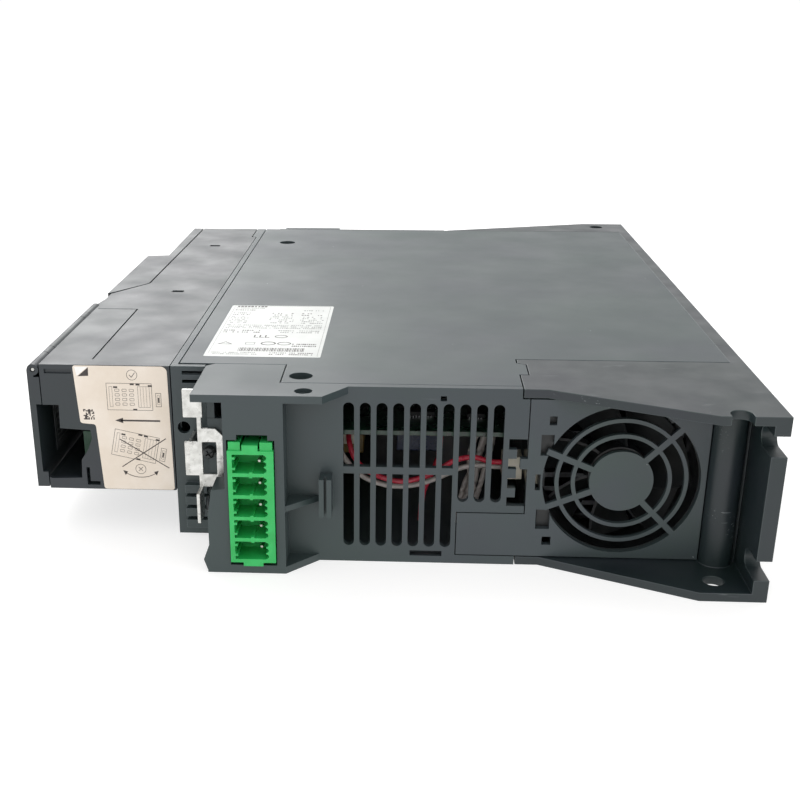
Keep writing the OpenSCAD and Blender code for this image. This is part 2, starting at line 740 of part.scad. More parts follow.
// Hinged door over the control terminals
module front_door() {
    color(slate) difference() {
        union() {
            block([front_x, -120.3], door_y, [ctl_z + 0.5, hinge_z]);
            plate([ctl_z + 0.5, hinge_z]) polygon([
                [front_x, door_y[1] - 0.1], [-120.3, door_y[1] - 0.1], [-118.6, -17], [-120.3, -16]
            ]);
            block([front_x, -118.4], [door_y[0], door_y[0] + 1.8], [ctl_z + 0.5, hinge_z - 2.6]);
            for (y = [[door_y[0], -104], [-96, -54.4], [-46.4, -32]]) rod_y(knuckle_r, hinge_x, y, hinge_z);
        }
        for (y = [[-104, -96], [-54.4, -46.4]])
            block([front_x - 1, -117], y, [hinge_z - knuckle_r - 0.4, top_z + 1]);
        rod_y(pin_r + running, hinge_x, [door_y[0] - 1, -30], hinge_z);
        block([-120.3, -118], [door_y[0] - 1, door_y[0] + 3], [22.5, 47.5]);
    }
}
module hinge_pin() { color(bare_metal) rod_y(pin_r, hinge_x, [door_y[0] + 0.4, -32.6], hinge_z); }

module control_board() {
    color(pcb_green) block([-92, -78], [-110, 130], [30, 31.6]);
}
module control_chips() {
    color(black_plastic) for (c = [[-84, -80, 10], [-84, -40, 7], [-85, 84, 12], [-84, 108, 7], [-84, -100, 5]])
        block([c[0] - c[2] / 2, c[0] + c[2] / 2], [c[1] - c[2] / 2, c[1] + c[2] / 2], [31.6, 33.4]);
}
module control_plug() {
    color(black_plastic) {
        block([-77.9, -72.2], [16.6, 63.4], [29, 37]);
        block([-72.3, -64.6], [16.6, 63.4], [29.2, 36.8]);
    }
}

// Rows of screw terminals in the bay; the mouth faces the door
module io_terminal(z, ways) {
    len = ways * io_pitch + 2;
    difference() {
        block([-108, bay_x], [io_y, io_y + len], [z, z + 14]);
        for (i = [0:ways - 1]) {
            y = io_y + 1 + (i + 0.5) * io_pitch;
            block([-109, -100], [y - 1.9, y + 1.9], [z + 1.6, z + 6]);
            rod_x(1.8, [-109, -102], y, z + 10.2);
        }
    }
}
module io_terminal_front() { color(terminal_green) io_terminal(io_rows[0][0], io_rows[0][1]); }
module io_terminal_rear() { color(terminal_green) io_terminal(io_rows[1][0], io_rows[1][1]); }
module terminal_screws() {
    color(bare_metal) for (row = io_rows, i = [0:row[1] - 1])
        translate([-102, io_y + 1 + (i + 0.5) * io_pitch, row[0] + 10.2]) rotate([0, -90, 0]) screw_head(1.7, 2.6);
}
module network_port() {
    color(bare_metal) difference() {
        block([-110, bay_x], [-61, -44.5], [ctl_z + 22, ctl_z + 36]);
        block([-111, bay_x - 2], [-59.6, -45.9], [ctl_z + 24, ctl_z + 34]);
    }
}
module logic_switch() {
    color(black_plastic) difference() {
        block([-103, bay_x], [-49.8, -41.8], [ctl_z + 6, ctl_z + 13]);
        block([-104, -99.6], [-48.6, -43], [ctl_z + 7.6, ctl_z + 11.4]);
    }
}
module logic_slider() { color(cream) block([-105.4, -99.8], [-48.4, -45.5], [ctl_z + 7.8, ctl_z + 11.2]); }

// Display, keys and dial
module hmi_board() { color(pcb_green) block([hmi_x, hmi_x + 1.2], [1, 61.6], [mid_z - 18, mid_z + 18]); }
module display_window() {
    color("#1a1416") block([cover_face + 0.1, cover_face + 1.2], [40.1, 57.9], [mid_z - 16.9, mid_z + 16.9]);
}
module digit() {
    for (y = [0, 5.6, 11.2]) block([-0.6, 0.1], [y, y + 1], [0.6, 5.4]);
    for (y = [0.5, 6.1], z = [0, 5]) block([-0.6, 0.1], [y, y + 5.6], [z, z + 1]);
}
module display_digits() {
    color("#5a1012") {
        block([-117, hmi_x], [42, 56.5], [mid_z - 16, mid_z + 16]);
        for (i = [0:3]) translate([-117, 43.2, mid_z - 15 + i * 8]) digit();
    }
}
module status_leds() { color("#7fd18b") for (k = [-1:1]) rod_x(1.2, [cover_face + 0.2, hmi_x], led_y, mid_z + 8 * k); }
module key_switches() {
    color(black_plastic) for (k = keys) rod_x(2.4, [key_rear + key_travel + rest_gap, hmi_x], k[0], mid_z + k[1]);
}
module encoder() {
    color(bare_metal) difference() {
        block([-116.4, hmi_x], [dial_y - 6, dial_y + 6], [mid_z - 6, mid_z + 6]);
        rod_x(3 + running, [-117.5, shaft_rear + key_travel + 0.1], dial_y, mid_z);
    }
}
module dial_shaft() {
    color(bare_metal) {
        rod_x(3, [-118, shaft_rear], dial_y, mid_z);
        rod_x(1.5, [-120.6, -117.9], dial_y, mid_z);
    }
}
module jog_dial() {
    color(key_grey) difference() {
        union() {
            rod_x(dial_r, [-121.4, -118.2], dial_y, mid_z);
            rod_x(dial_r - 1.2, [-122.2, -121.3], dial_y, mid_z);
        }
        rod_x(1.5 + running, [-120.8, -117], dial_y, mid_z);
        rod_x(2.2, [-123, -121.6], dial_y + 5.4, mid_z);
        for (a = [0:24:359]) rotate_about_dial(a) rod_x(0.7, [-123, -117], dial_y + dial_r + 0.2, mid_z);
    }
}
module rotate_about_dial(a) {
    translate([0, dial_y, mid_z]) rotate([a, 0, 0]) translate([0, -dial_y, -mid_z]) children();
}
module key(k) {
    rod_x(key_r, [cover_face - 1.1, key_rear - 0.7], k[0], mid_z + k[1]);
    rod_x(key_r + 0.9, [key_rear - 0.8, key_rear], k[0], mid_z + k[1]);
}
module mode_key() { color(key_grey) key(keys[0]); }
module escape_key() { color(key_grey) key(keys[1]); }
module run_key() { color("#2f9e55") key(keys[2]); }
module stop_key() { color("#b8322f") key(keys[3]); }

// Instruction sticker on the bottom end of the control block
module pull_sticker() {
    color("#e6ddcf") upright([ctl_near - 0.25, ctl_near]) polygon([
        [-106.4, top_z - 0.2], [-75.3, top_z - 0.2], [-74, top_z - 1.4], [-73.6, ctl_z + 0.2],
        [-98.6, ctl_z + 0.2], [-99.9, 40.7], [-105.2, 41.1]
    ]);
}

mounting_plate();
gusset_wings();
corner_post();
heat_sink();
power_tray();
side_panel();
bottom_end_cap();
top_end_cap();
motor_header();
mains_header();
connector_pins();
connector_boards();
grounding_bracket();
bracket_screws();
case_screws();
nameplate();
power_board();
dc_capacitors();
power_module();
filter_choke();
film_capacitors();
relays();
transformer();
board_plug();
fan_socket();
fan_lead_red();
fan_lead_grey();
power_socket();
fan_cover();
fan_frame();
fan_screws();
fan_plug();
fan_rotor();
control_housing();
bay_liner();
front_cover();
front_door();
hinge_pin();
control_board();
control_chips();
control_plug();
io_terminal_front();
io_terminal_rear();
terminal_screws();
network_port();
hmi_board();
display_window();
display_digits();
status_leds();
key_switches();
encoder();
dial_shaft();
jog_dial();
mode_key();
escape_key();
run_key();
stop_key();
logic_switch();
logic_slider();
pull_sticker();
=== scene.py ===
"""Finished look of a book-format servo drive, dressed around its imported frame.

The drive lies on its left side panel. X runs from the front (-) to the mounting
plate (+), Y from the bottom end (-) to the top end (+), and Z up. Sizes are in
millimetres unless a comment says otherwise; meshes are scaled to metres last.
"""

import json
import logging
import math
from dataclasses import dataclass
from enum import Enum
from typing import Any, Iterable, Sequence

import bmesh
import bpy
from mathutils import Matrix, Vector

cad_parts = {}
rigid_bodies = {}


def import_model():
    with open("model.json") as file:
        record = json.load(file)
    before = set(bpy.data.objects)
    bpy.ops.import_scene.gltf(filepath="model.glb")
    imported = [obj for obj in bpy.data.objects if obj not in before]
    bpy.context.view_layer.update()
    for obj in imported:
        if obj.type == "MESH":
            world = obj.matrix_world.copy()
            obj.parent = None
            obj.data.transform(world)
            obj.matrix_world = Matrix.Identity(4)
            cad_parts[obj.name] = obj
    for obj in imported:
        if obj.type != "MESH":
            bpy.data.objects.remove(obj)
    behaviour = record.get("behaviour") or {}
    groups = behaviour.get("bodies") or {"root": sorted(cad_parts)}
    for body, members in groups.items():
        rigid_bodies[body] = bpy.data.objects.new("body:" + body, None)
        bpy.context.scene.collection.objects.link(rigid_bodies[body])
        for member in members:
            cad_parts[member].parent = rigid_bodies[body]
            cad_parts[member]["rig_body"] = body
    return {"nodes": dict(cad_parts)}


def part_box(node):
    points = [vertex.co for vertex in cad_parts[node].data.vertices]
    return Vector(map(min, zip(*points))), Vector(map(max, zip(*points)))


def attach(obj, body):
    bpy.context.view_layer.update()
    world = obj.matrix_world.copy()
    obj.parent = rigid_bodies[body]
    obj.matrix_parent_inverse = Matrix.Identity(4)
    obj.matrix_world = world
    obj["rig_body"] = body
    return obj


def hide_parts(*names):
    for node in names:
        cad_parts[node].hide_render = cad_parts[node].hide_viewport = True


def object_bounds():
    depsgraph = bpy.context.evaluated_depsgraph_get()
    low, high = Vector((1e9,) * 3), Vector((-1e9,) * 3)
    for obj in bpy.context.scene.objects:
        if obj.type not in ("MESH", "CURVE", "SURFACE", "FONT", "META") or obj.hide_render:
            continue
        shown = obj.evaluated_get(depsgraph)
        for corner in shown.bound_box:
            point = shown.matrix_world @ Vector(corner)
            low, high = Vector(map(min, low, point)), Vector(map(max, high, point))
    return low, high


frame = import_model()
CAD_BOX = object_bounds()

log = logging.getLogger("servo_drive")
MM = 0.001
Point = Sequence[float]
Inputs = dict[str | int, Any]
Socket = bpy.types.NodeSocket
Tree = bpy.types.NodeTree
Mesh = bpy.types.Mesh
Item = bpy.types.Object


class Slot(Enum):
    """Names of the record's material slots; pieces are handed one, but it is not used."""

    HOUSING = "housing_plastic"
    FRAME = "frame_paint"
    DARK = "dark_plastic"
    GREEN = "connector_green"
    TERMINAL = "terminal_green"
    CONTACT = "contact_metal"
    BRACKET = "bracket_steel"
    SCREW = "screw_steel"
    SINK = "sink_aluminium"
    BOARD = "circuit_board"
    SLEEVE = "capacitor_sleeve"
    COPPER = "choke_copper"
    FILM = "film_capacitor"
    RELAY = "relay_blue"
    CREAM = "cream_plastic"
    RED_LEAD = "red_lead"
    GREY_LEAD = "grey_lead"
    LABEL = "label_white"
    STICKER = "sticker_cream"
    WINDOW = "display_tint"
    DIGIT = "digit_red"
    LED = "led_lens"
    KEY = "key_grey"
    KEY_RUN = "key_green"
    KEY_STOP = "key_red"


class Axis(Enum):
    """Direction of an extrusion, and the two axes that its outline is drawn in."""

    X = (0, 1, 2)
    Y = (1, 0, 2)
    Z = (2, 0, 1)


class Effect(Enum):
    """Surface effects that several finishes share."""

    DRIFT = "tone_drift"
    GRAIN = "mould_grain"
    DUST = "dust_specks"
    SCUFF = "scuff_marks"


class Kind(Enum):
    """Kinds of socket that a node group takes or gives."""

    FLOAT = "NodeSocketFloat"
    INT = "NodeSocketInt"
    VECTOR = "NodeSocketVector"
    COLOUR = "NodeSocketColor"
    GEOMETRY = "NodeSocketGeometry"
    MATERIAL = "NodeSocketMaterial"
    OBJECT = "NodeSocketObject"


def linear(code: str) -> tuple[float, float, float, float]:
    """Turn a hex sRGB colour into linear values.

    Args:
        code: Six hex digits, with or without a leading hash.

    Returns:
        Linear red, green and blue, and an alpha of one.
    """
    digits = code.lstrip("#")
    parts = [int(digits[i:i + 2], 16) / 255 for i in (0, 2, 4)]
    low = [c / 12.92 if c <= 0.04045 else ((c + 0.055) / 1.055) ** 2.4 for c in parts]
    return (low[0], low[1], low[2], 1.0)


class Graph:
    """Places nodes in one node tree and joins their sockets."""

    def __init__(self, tree: Tree) -> None:
        """Keep the tree that nodes are added to."""
        self.tree = tree

    def add(self, kind: str, inputs: Inputs | None = None, **settings: Any) -> bpy.types.Node:
        """Add one node, set it up and feed its inputs.

        Args:
            kind: Blender's identifier of the node.
            inputs: Values or other nodes' sockets, by input name or number.
            **settings: Properties of the node itself.

        Returns:
            The new node.
        """
        node = self.tree.nodes.new(kind)
        for key, value in settings.items():
            setattr(node, key, value)
        for key, value in (inputs or {}).items():
            self.feed(node.inputs[key], value)
        return node

    def feed(self, socket: Socket, value: Any) -> None:
        """Link another node's output to a socket, or set its plain value."""
        if isinstance(value, Socket):
            self.tree.links.new(value, socket)
        else:
            socket.default_value = value

    def math(self, operation: str, *values: Any) -> Socket:
        """Add a Math node and return its result."""
        return self.add("ShaderNodeMath", dict(enumerate(values)), operation=operation).outputs[0]

    def times(self, first: Any, second: Any) -> Socket:
        """Multiply two numbers."""
        return self.math("MULTIPLY", first, second)

    def plus(self, first: Any, second: Any) -> Socket:
        """Add two numbers."""
        return self.math("ADD", first, second)

    def vector(self, operation: str, *values: Any) -> Socket:
        """Add a Vector Math node and return its vector."""
        return self.add("ShaderNodeVectorMath", dict(enumerate(values)), operation=operation).outputs[0]

    def xyz(self, x: Any, y: Any, z: Any) -> Socket:
        """Join three numbers into a vector."""
        return self.add("ShaderNodeCombineXYZ", {0: x, 1: y, 2: z}).outputs[0]

    def ramp(self, value: Any, low: float, high: float, out_low: float = 0.0, out_high: float = 1.0) -> Socket:
        """Stretch a value's range, clamped at both ends."""
        inputs = {"Value": value, "From Min": low, "From Max": high, "To Min": out_low, "To Max": out_high}
        return self.add("ShaderNodeMapRange", inputs).outputs[0]

    def mix(self, factor: Any, first: Any, second: Any) -> Socket:
        """Mix two colours."""
        return self.add("ShaderNodeMix", {0: factor, 6: first, 7: second}, data_type="RGBA").outputs[2]


def new_group(name: str, kind: str, inputs: dict[str, Any],
              outputs: dict[str, Kind]) -> tuple[Graph, Any, Socket]:
    """Start a node group with named sockets.

    Args:
        name: The group's name.
        kind: Blender's identifier of the tree type.
        inputs: A default number, or else the socket's kind, by socket name.
        outputs: The socket's kind, by socket name.

    Returns:
        The graph, the group's inputs by name, and the socket of its result.
    """
    tree = bpy.data.node_groups.new(name, kind)
    for label, given in inputs.items():
        plain = Kind.INT if isinstance(given, int) else Kind.FLOAT
        kind_of = given if isinstance(given, Kind) else plain
        item = tree.interface.new_socket(label, in_out="INPUT", socket_type=kind_of.value)
        if kind_of is not given:
            item.default_value = given
    for label, given in outputs.items():
        tree.interface.new_socket(label, in_out="OUTPUT", socket_type=given.value)
    graph = Graph(tree)
    return graph, graph.add("NodeGroupInput").outputs, graph.add("NodeGroupOutput").inputs[0]


class EffectLibrary:
    """Builds each shared shader group once, and hands it to the finishes."""

    def __init__(self) -> None:
        """Build the four groups."""
        self._groups = {
            Effect.DRIFT: self._drift(),
            Effect.GRAIN: self._grain(),
            Effect.DUST: self._dust(),
            Effect.SCUFF: self._scuff(),
        }

    def place(self, graph: Graph, effect: Effect, inputs: Inputs) -> Socket:
        """Place one effect in a material and return its result."""
        return graph.add("ShaderNodeGroup", inputs, node_tree=self._groups[effect]).outputs[0]

    def _drift(self) -> Tree:
        """Slow drift of the base colour towards two neighbouring tones."""
        graph, given, result = new_group(Effect.DRIFT.value, "ShaderNodeTree", {
            "Vector": Kind.VECTOR, "Base": Kind.COLOUR, "Tone A": Kind.COLOUR,
            "Tone B": Kind.COLOUR, "Patch": 40.0, "Share": 0.4,
        }, {"Color": Kind.COLOUR})
        rate = graph.math("DIVIDE", 1.0, given["Patch"])
        first = graph.add("ShaderNodeTexNoise", {"Vector": given["Vector"], "Scale": rate, "Detail": 3.0})
        moved = graph.vector("ADD", given["Vector"], (210.0, 90.0, 40.0))
        second = graph.add("ShaderNodeTexNoise", {"Vector": moved, "Scale": rate, "Detail": 4.0})
        share_a = graph.times(graph.ramp(first.outputs[0], 0.42, 0.62), given["Share"])
        share_b = graph.times(graph.ramp(second.outputs[0], 0.45, 0.65), given["Share"])
        tone = graph.mix(share_a, given["Base"], given["Tone A"])
        graph.tree.links.new(graph.mix(share_b, tone, given["Tone B"]), result)
        return graph.tree

    def _grain(self) -> Tree:
        """Fine spark-eroded grain as a height from zero to one."""
        graph, given, result = new_group(Effect.GRAIN.value, "ShaderNodeTree", {
            "Vector": Kind.VECTOR, "Pitch": 0.35, "Softness": 0.5,
        }, {"Height": Kind.FLOAT})
        rate = graph.math("DIVIDE", 1.0, given["Pitch"])
        cells = graph.add("ShaderNodeTexVoronoi", {"Vector": given["Vector"], "Scale": rate},
                          feature="SMOOTH_F1")
        fine = graph.add("ShaderNodeTexNoise", {"Vector": given["Vector"], "Scale": rate, "Detail": 2.0})
        part = graph.times(cells.outputs["Distance"], given["Softness"])
        graph.tree.links.new(graph.plus(part, fine.outputs[0]), result)
        return graph.tree

    def _dust(self) -> Tree:
        """Sparse pale specks as a mask."""
        graph, given, result = new_group(Effect.DUST.value, "ShaderNodeTree", {
            "Vector": Kind.VECTOR, "Spacing": 3.0, "Share": 0.2,
        }, {"Mask": Kind.FLOAT})
        rate = graph.math("DIVIDE", 1.0, given["Spacing"])
        cells = graph.add("ShaderNodeTexVoronoi", {"Vector": given["Vector"], "Scale": rate})
        luck = graph.add("ShaderNodeSeparateColor", {0: cells.outputs["Color"]})
        kept = graph.math("LESS_THAN", luck.outputs[0], given["Share"])
        size = graph.times(luck.outputs[1], 0.1)
        near = graph.math("LESS_THAN", cells.outputs["Distance"], size)
        graph.tree.links.new(graph.times(kept, near), result)
        return graph.tree

    def _scuff(self) -> Tree:
        """Thin pale rub marks, gathered in patches, as a mask."""
        graph, given, result = new_group(Effect.SCUFF.value, "ShaderNodeTree", {
            "Vector": Kind.VECTOR, "Spacing": 9.0, "Share": 0.3,
        }, {"Mask": Kind.FLOAT})
        rate = graph.math("DIVIDE", 1.0, given["Spacing"])
        turned = graph.add("ShaderNodeMapping", {
            "Vector": given["Vector"], "Rotation": (0.3, 0.5, 0.4), "Scale": (0.12, 3.0, 3.0)})
        lines = graph.add("ShaderNodeTexNoise", {
            "Vector": turned.outputs[0], "Scale": graph.times(rate, 6.0), "Detail": 2.0})
        thin = graph.ramp(lines.outputs[0], 0.64, 0.7)
        patch = graph.add("ShaderNodeTexNoise", {
            "Vector": given["Vector"], "Scale": graph.times(rate, 0.6), "Detail": 1.0})
        where = graph.ramp(patch.outputs[0], 0.62, 0.76)
        mask = graph.times(graph.times(thin, where), given["Share"])
        graph.tree.links.new(mask, result)
        return graph.tree


EFFECTS = EffectLibrary()


@dataclass(frozen=True)
class Finish:
    """One surface finish: colours, gloss, grain and marks of use.

    Colours are sRGB codes; patch, grain and depths are millimetres.
    """

    name: str
    colour: str
    tone_a: str = ""
    tone_b: str = ""
    patch: float = 30.0
    share: float = 0.4
    roughness: float = 0.5
    rough_drift: float = 0.08
    metallic: float = 0.0
    ior: float = 1.5
    grain: float = 0.35
    grain_depth: float = 0.02
    dust: float = 0.0
    scuffs: float = 0.0
    mark: str = "#8f9597"
    coat: float = 0.0
    subsurface: float = 0.0
    alpha: float = 1.0
    glow: float = 0.0

    def make(self) -> bpy.types.Material:
        """Build the material, or fetch it if it was built before.

        Returns:
            The finished Blender material.
        """
        known = bpy.data.materials.get(self.name)
        if known:
            return known
        material = bpy.data.materials.new(self.name)
        material.use_nodes = True
        material.node_tree.nodes.clear()
        graph = Graph(material.node_tree)
        spot = graph.add("ShaderNodeTexCoord")
        place = graph.add("ShaderNodeVectorMath", {0: spot.outputs["Object"], "Scale": 1 / MM},
                          operation="SCALE").outputs[0]
        shader = graph.add("ShaderNodeBsdfPrincipled", {
            "Metallic": self.metallic, "IOR": self.ior, "Coat Weight": self.coat, "Coat Roughness": 0.15,
            "Subsurface Weight": self.subsurface, "Subsurface Scale": 1.5 * MM, "Alpha": self.alpha})
        colour = self.marked(graph, place, self.surface(graph, place))
        graph.tree.links.new(colour, shader.inputs["Base Color"])
        graph.tree.links.new(self.gloss(graph, place), shader.inputs["Roughness"])
        if self.glow:
            graph.tree.links.new(colour, shader.inputs["Emission Color"])
            shader.inputs["Emission Strength"].default_value = self.glow
        bump = graph.add("ShaderNodeBump", {
            "Height": self.relief(graph, place), "Distance": self.grain_depth * MM, "Strength": 1.0})
        graph.tree.links.new(bump.outputs[0], shader.inputs["Normal"])
        output = graph.add("ShaderNodeOutputMaterial")
        graph.tree.links.new(shader.outputs[0], output.inputs[0])
        material.diffuse_color = linear(self.colour)
        return material

    def surface(self, graph: Graph, place: Socket) -> Socket:
        """Base colour over the surface."""
        return EFFECTS.place(graph, Effect.DRIFT, {
            "Vector": place, "Base": linear(self.colour), "Tone A": linear(self.tone_a or self.colour),
            "Tone B": linear(self.tone_b or self.colour), "Patch": self.patch, "Share": self.share})

    def marked(self, graph: Graph, place: Socket, colour: Socket) -> Socket:
        """Dust specks and rub marks over a colour."""
        if self.dust:
            mask = EFFECTS.place(graph, Effect.DUST, {"Vector": place, "Spacing": 2.6, "Share": self.dust})
            colour = graph.mix(mask, colour, linear("#c9cccb"))
        if self.scuffs:
            mask = EFFECTS.place(graph, Effect.SCUFF, {"Vector": place, "Spacing": 9.0, "Share": self.scuffs})
            colour = graph.mix(mask, colour, linear(self.mark))
        return colour

    def gloss(self, graph: Graph, place: Socket) -> Socket:
        """Roughness, drifting a little over the surface."""
        noise = graph.add("ShaderNodeTexNoise", {"Vector": place, "Scale": 1 / self.patch * 2.2, "Detail": 3.0})
        low = max(0.02, self.roughness - self.rough_drift)
        return graph.ramp(noise.outputs[0], 0.3, 0.7, low, self.roughness + self.rough_drift)

    def relief(self, graph: Graph, place: Socket) -> Socket:
        """Height of the fine surface relief."""
        return EFFECTS.place(graph, Effect.GRAIN, {"Vector": place, "Pitch": self.grain, "Softness": 0.6})


@dataclass(frozen=True)
class PlatedFinish(Finish):
    """Zinc plating that has dulled in patches, with dark handling stains."""

    stain: str = "#4c4a47"
    stain_size: float = 3.2

    def surface(self, graph: Graph, place: Socket) -> Socket:
        """Plating with spangles and stains."""
        base = Finish.surface(self, graph, place)
        noise = graph.add("ShaderNodeTexNoise", {
            "Vector": place, "Scale": 1 / self.stain_size, "Detail": 6.0, "Roughness": 0.7})
        return graph.mix(graph.ramp(noise.outputs[0], 0.56, 0.7, 0.0, 0.7), base, linear(self.stain))


@dataclass(frozen=True)
class BoardFinish(Finish):
    """Solder resist over copper tracks that run along X and Y."""

    track: str = "#17442d"
    track_pitch: float = 2.2

    def surface(self, graph: Graph, place: Socket) -> Socket:
        """Green resist with lighter tracks and pads."""
        base = Finish.surface(self, graph, place)
        cells = graph.add("ShaderNodeTexVoronoi", {"Vector": place, "Scale": 1 / self.track_pitch},
                          distance="CHEBYCHEV", feature="F1")
        ring = graph.ramp(cells.outputs["Distance"], 0.34, 0.38)
        return graph.mix(graph.times(ring, 0.6), base, linear(self.track))


@dataclass(frozen=True)
class SleeveFinish(Finish):
    """Shrunk capacitor sleeve with a pale polarity stripe on one side."""

    stripe: str = "#b9bec2"
    stripe_normal: float = 0.93

    def surface(self, graph: Graph, place: Socket) -> Socket:
        """Dark sleeve, pale where the wall faces the bottom end."""
        base = Finish.surface(self, graph, place)
        facing = graph.add("ShaderNodeNewGeometry")
        parts = graph.add("ShaderNodeSeparateXYZ", {0: facing.outputs["True Normal"]})
        side = graph.times(parts.outputs[1], -1.0)
        return graph.mix(graph.ramp(side, self.stripe_normal, self.stripe_normal + 0.01), base, linear(self.stripe))


@dataclass(frozen=True)
class CastFinish(Finish):
    """Rolled or extruded metal with fine lines along one axis."""

    line_scale: tuple[float, float, float] = (6.0, 0.12, 6.0)

    def relief(self, graph: Graph, place: Socket) -> Socket:
        """Draw lines from the die."""
        drawn = graph.add("ShaderNodeMapping", {"Vector": place, "Scale": self.line_scale})
        return graph.add("ShaderNodeTexNoise", {"Vector": drawn.outputs[0], "Scale": 1.0, "Detail": 4.0}).outputs[0]


SLATE = Finish("slate_plastic", "#343f40", "#393c45", "#33443f", patch=62, share=0.42, roughness=0.44,
               rough_drift=0.05, grain=0.32, grain_depth=0.011, dust=0.012, scuffs=0.1)
# Lighter and glossier than the body plastic: a painted highlight on the broken edges.
SLATE_EDGE_HIGHLIGHT = Finish("slate_edge_highlight", "#4b5558", "#50535d", "#4a5c58", patch=9, share=0.5, roughness=0.34,
                    grain=0.5, grain_depth=0.004)
CONTROL = Finish("control_plastic", "#282f32", "#2b2c35", "#263330", patch=44, share=0.4, roughness=0.42,
                 grain_depth=0.012, dust=0.012)
COVER = Finish("cover_plastic", "#384144", "#3a3c44", "#36463f", patch=30, share=0.4, roughness=0.46,
               rough_drift=0.05, grain=0.3, grain_depth=0.012, dust=0.01)
PAINT = Finish("frame_moulding", "#20292c", "#23262f", "#1e2c2a", patch=34, share=0.5, roughness=0.4,
               rough_drift=0.07, grain=0.4, grain_depth=0.012, dust=0.03, scuffs=0.85)
# Lighter than the frame's body: a painted highlight on its broken edges, with real scuffs over it.
PAINT_EDGE_HIGHLIGHT_SCUFFED = Finish("frame_edge_highlight_scuffed", "#353d3f", "#393c44", "#33423d", patch=8, share=0.5, roughness=0.36,
                    grain=0.5, grain_depth=0.004, scuffs=0.3)
DARK = Finish("black_plastic", "#191c1d", "#22211f", "#15191d", patch=12, roughness=0.42, grain=0.3,
              grain_depth=0.01, dust=0.02)
# Plastic of the terminal bay; on the broken edges of the black parts it is also a painted highlight, lighter than
# their own colour.
BAY_AND_EDGE_HIGHLIGHT = Finish("bay_plastic_and_edge_highlight", "#262e30", "#2b2d33", "#222d2c", patch=18, roughness=0.5, grain_depth=0.012)
SIGNAL = Finish("connector_green_polyamide", "#27ae57", "#1f9f4a", "#34bd66", patch=6, share=0.5, roughness=0.36,
                grain=0.4, grain_depth=0.006, subsurface=0.08)
# Lighter green than the body: a painted highlight on the connectors' broken edges.
SIGNAL_EDGE_HIGHLIGHT = Finish("connector_green_edge_highlight", "#4ccc7a", "#3fc06c", "#5cd488", patch=3, roughness=0.3,
                     grain=0.4, grain_depth=0.003, subsurface=0.08)
TERMINAL = Finish("terminal_green_polyamide", "#1b4a31", "#17422b", "#215639", patch=8, roughness=0.42,
                  grain_depth=0.008)
TIN = Finish("tinned_contact", "#a8a6a0", "#b3b0a8", "#dad8d2", patch=1.6, roughness=0.28, metallic=1.0,
             grain=0.6, grain_depth=0.006)
GOLD = Finish("gilt_contact", "#d9b45a", "#c79c3e", "#e6c877", patch=1.2, roughness=0.22, metallic=1.0,
              grain=0.5, grain_depth=0.003)
ZINC = PlatedFinish("zinc_plated_steel", "#d5d5d1", "#bfbfbb", "#e6e6e3", patch=2.4, share=0.7, roughness=0.36,
                    rough_drift=0.12, metallic=0.85, grain=0.8, grain_depth=0.02)
SCREW = Finish("phosphated_screw", "#3b3e40", "#4c4c49", "#2c2f33", patch=1.5, roughness=0.36, metallic=0.9,
               grain=0.3, grain_depth=0.008)
BRIGHT_SCREW = Finish("plated_screw", "#b9bab6", "#9c9b95", "#d0d0cd", patch=1.2, roughness=0.27, metallic=1.0,
                      grain=0.3, grain_depth=0.006)
ALUMINIUM = CastFinish("extruded_aluminium", "#a9adb0", "#9a9fa3", "#bfc2c4", patch=16, roughness=0.38,
                       rough_drift=0.1, metallic=1.0, grain_depth=0.02)
# Resist and board edge are both darker than the bare materials: painted shade for boards that sit deep inside the
# housing.
SHADED_RESIST = BoardFinish("board_resist_shaded", "#0d241a", "#0b1f16", "#112b1e", patch=14, roughness=0.3, grain=0.5,
                     grain_depth=0.02, coat=0.3)
SHADED_LAMINATE = Finish("board_edge_shaded", "#3a4035", "#32382e", "#444a3e", patch=1.5, roughness=0.6, grain=0.2)
SLEEVE = SleeveFinish("capacitor_sleeve_pvc", "#1f2b36", "#24303d", "#1a252e", patch=10, roughness=0.3,
                      grain=2.0, grain_depth=0.02)
COPPER = Finish("enamelled_copper", "#a85c2b", "#8f471d", "#c17b3f", patch=3, roughness=0.28, metallic=0.85,
                coat=0.6, grain=1.0, grain_depth=0.006)
FERRITE = Finish("coated_core", "#3f4a3c", "#374238", "#4b5547", patch=4, roughness=0.5, grain=0.6)
FILM = Finish("film_capacitor_case", "#7a6020", "#6a531b", "#8a6f2c", patch=9, roughness=0.34, grain_depth=0.008)
RELAY = Finish("relay_case", "#16294d", "#132342", "#1d3258", patch=8, roughness=0.28, grain_depth=0.005)
CREAM = Finish("cream_polyamide", "#ddd7c6", "#d1cab6", "#e6e1d2", patch=5, roughness=0.4, grain_depth=0.008)
RED = Finish("red_insulation", "#c0233c", "#a81c33", "#d13a50", patch=5, roughness=0.3, grain=0.7,
             grain_depth=0.006, coat=0.2)
GREY = Finish("grey_insulation", "#b9b2ad", "#a39d99", "#cfc9c5", patch=5, roughness=0.34, grain=0.7,
              grain_depth=0.006, coat=0.2)
LABEL = Finish("label_polyester", "#c6c8c5", "#bdbfbc", "#d0d2cf", patch=12, share=0.5, roughness=0.42,
               rough_drift=0.04, grain=0.5, grain_depth=0.003, coat=0.1)
STICKER = Finish("sticker_paper", "#e2d6c8", "#dccfbf", "#e9dfd3", patch=9, share=0.6, roughness=0.5,
                 grain=0.4, grain_depth=0.006)
INK = Finish("printing_ink", "#3a3432", "#4a4441", "#2c2725", patch=0.9, roughness=0.5, grain=0.4,
             grain_depth=0.003)
PALE_INK = Finish("label_ink", "#6e706e", "#7e807e", "#5c5e5c", patch=0.8, roughness=0.5, grain_depth=0.003)
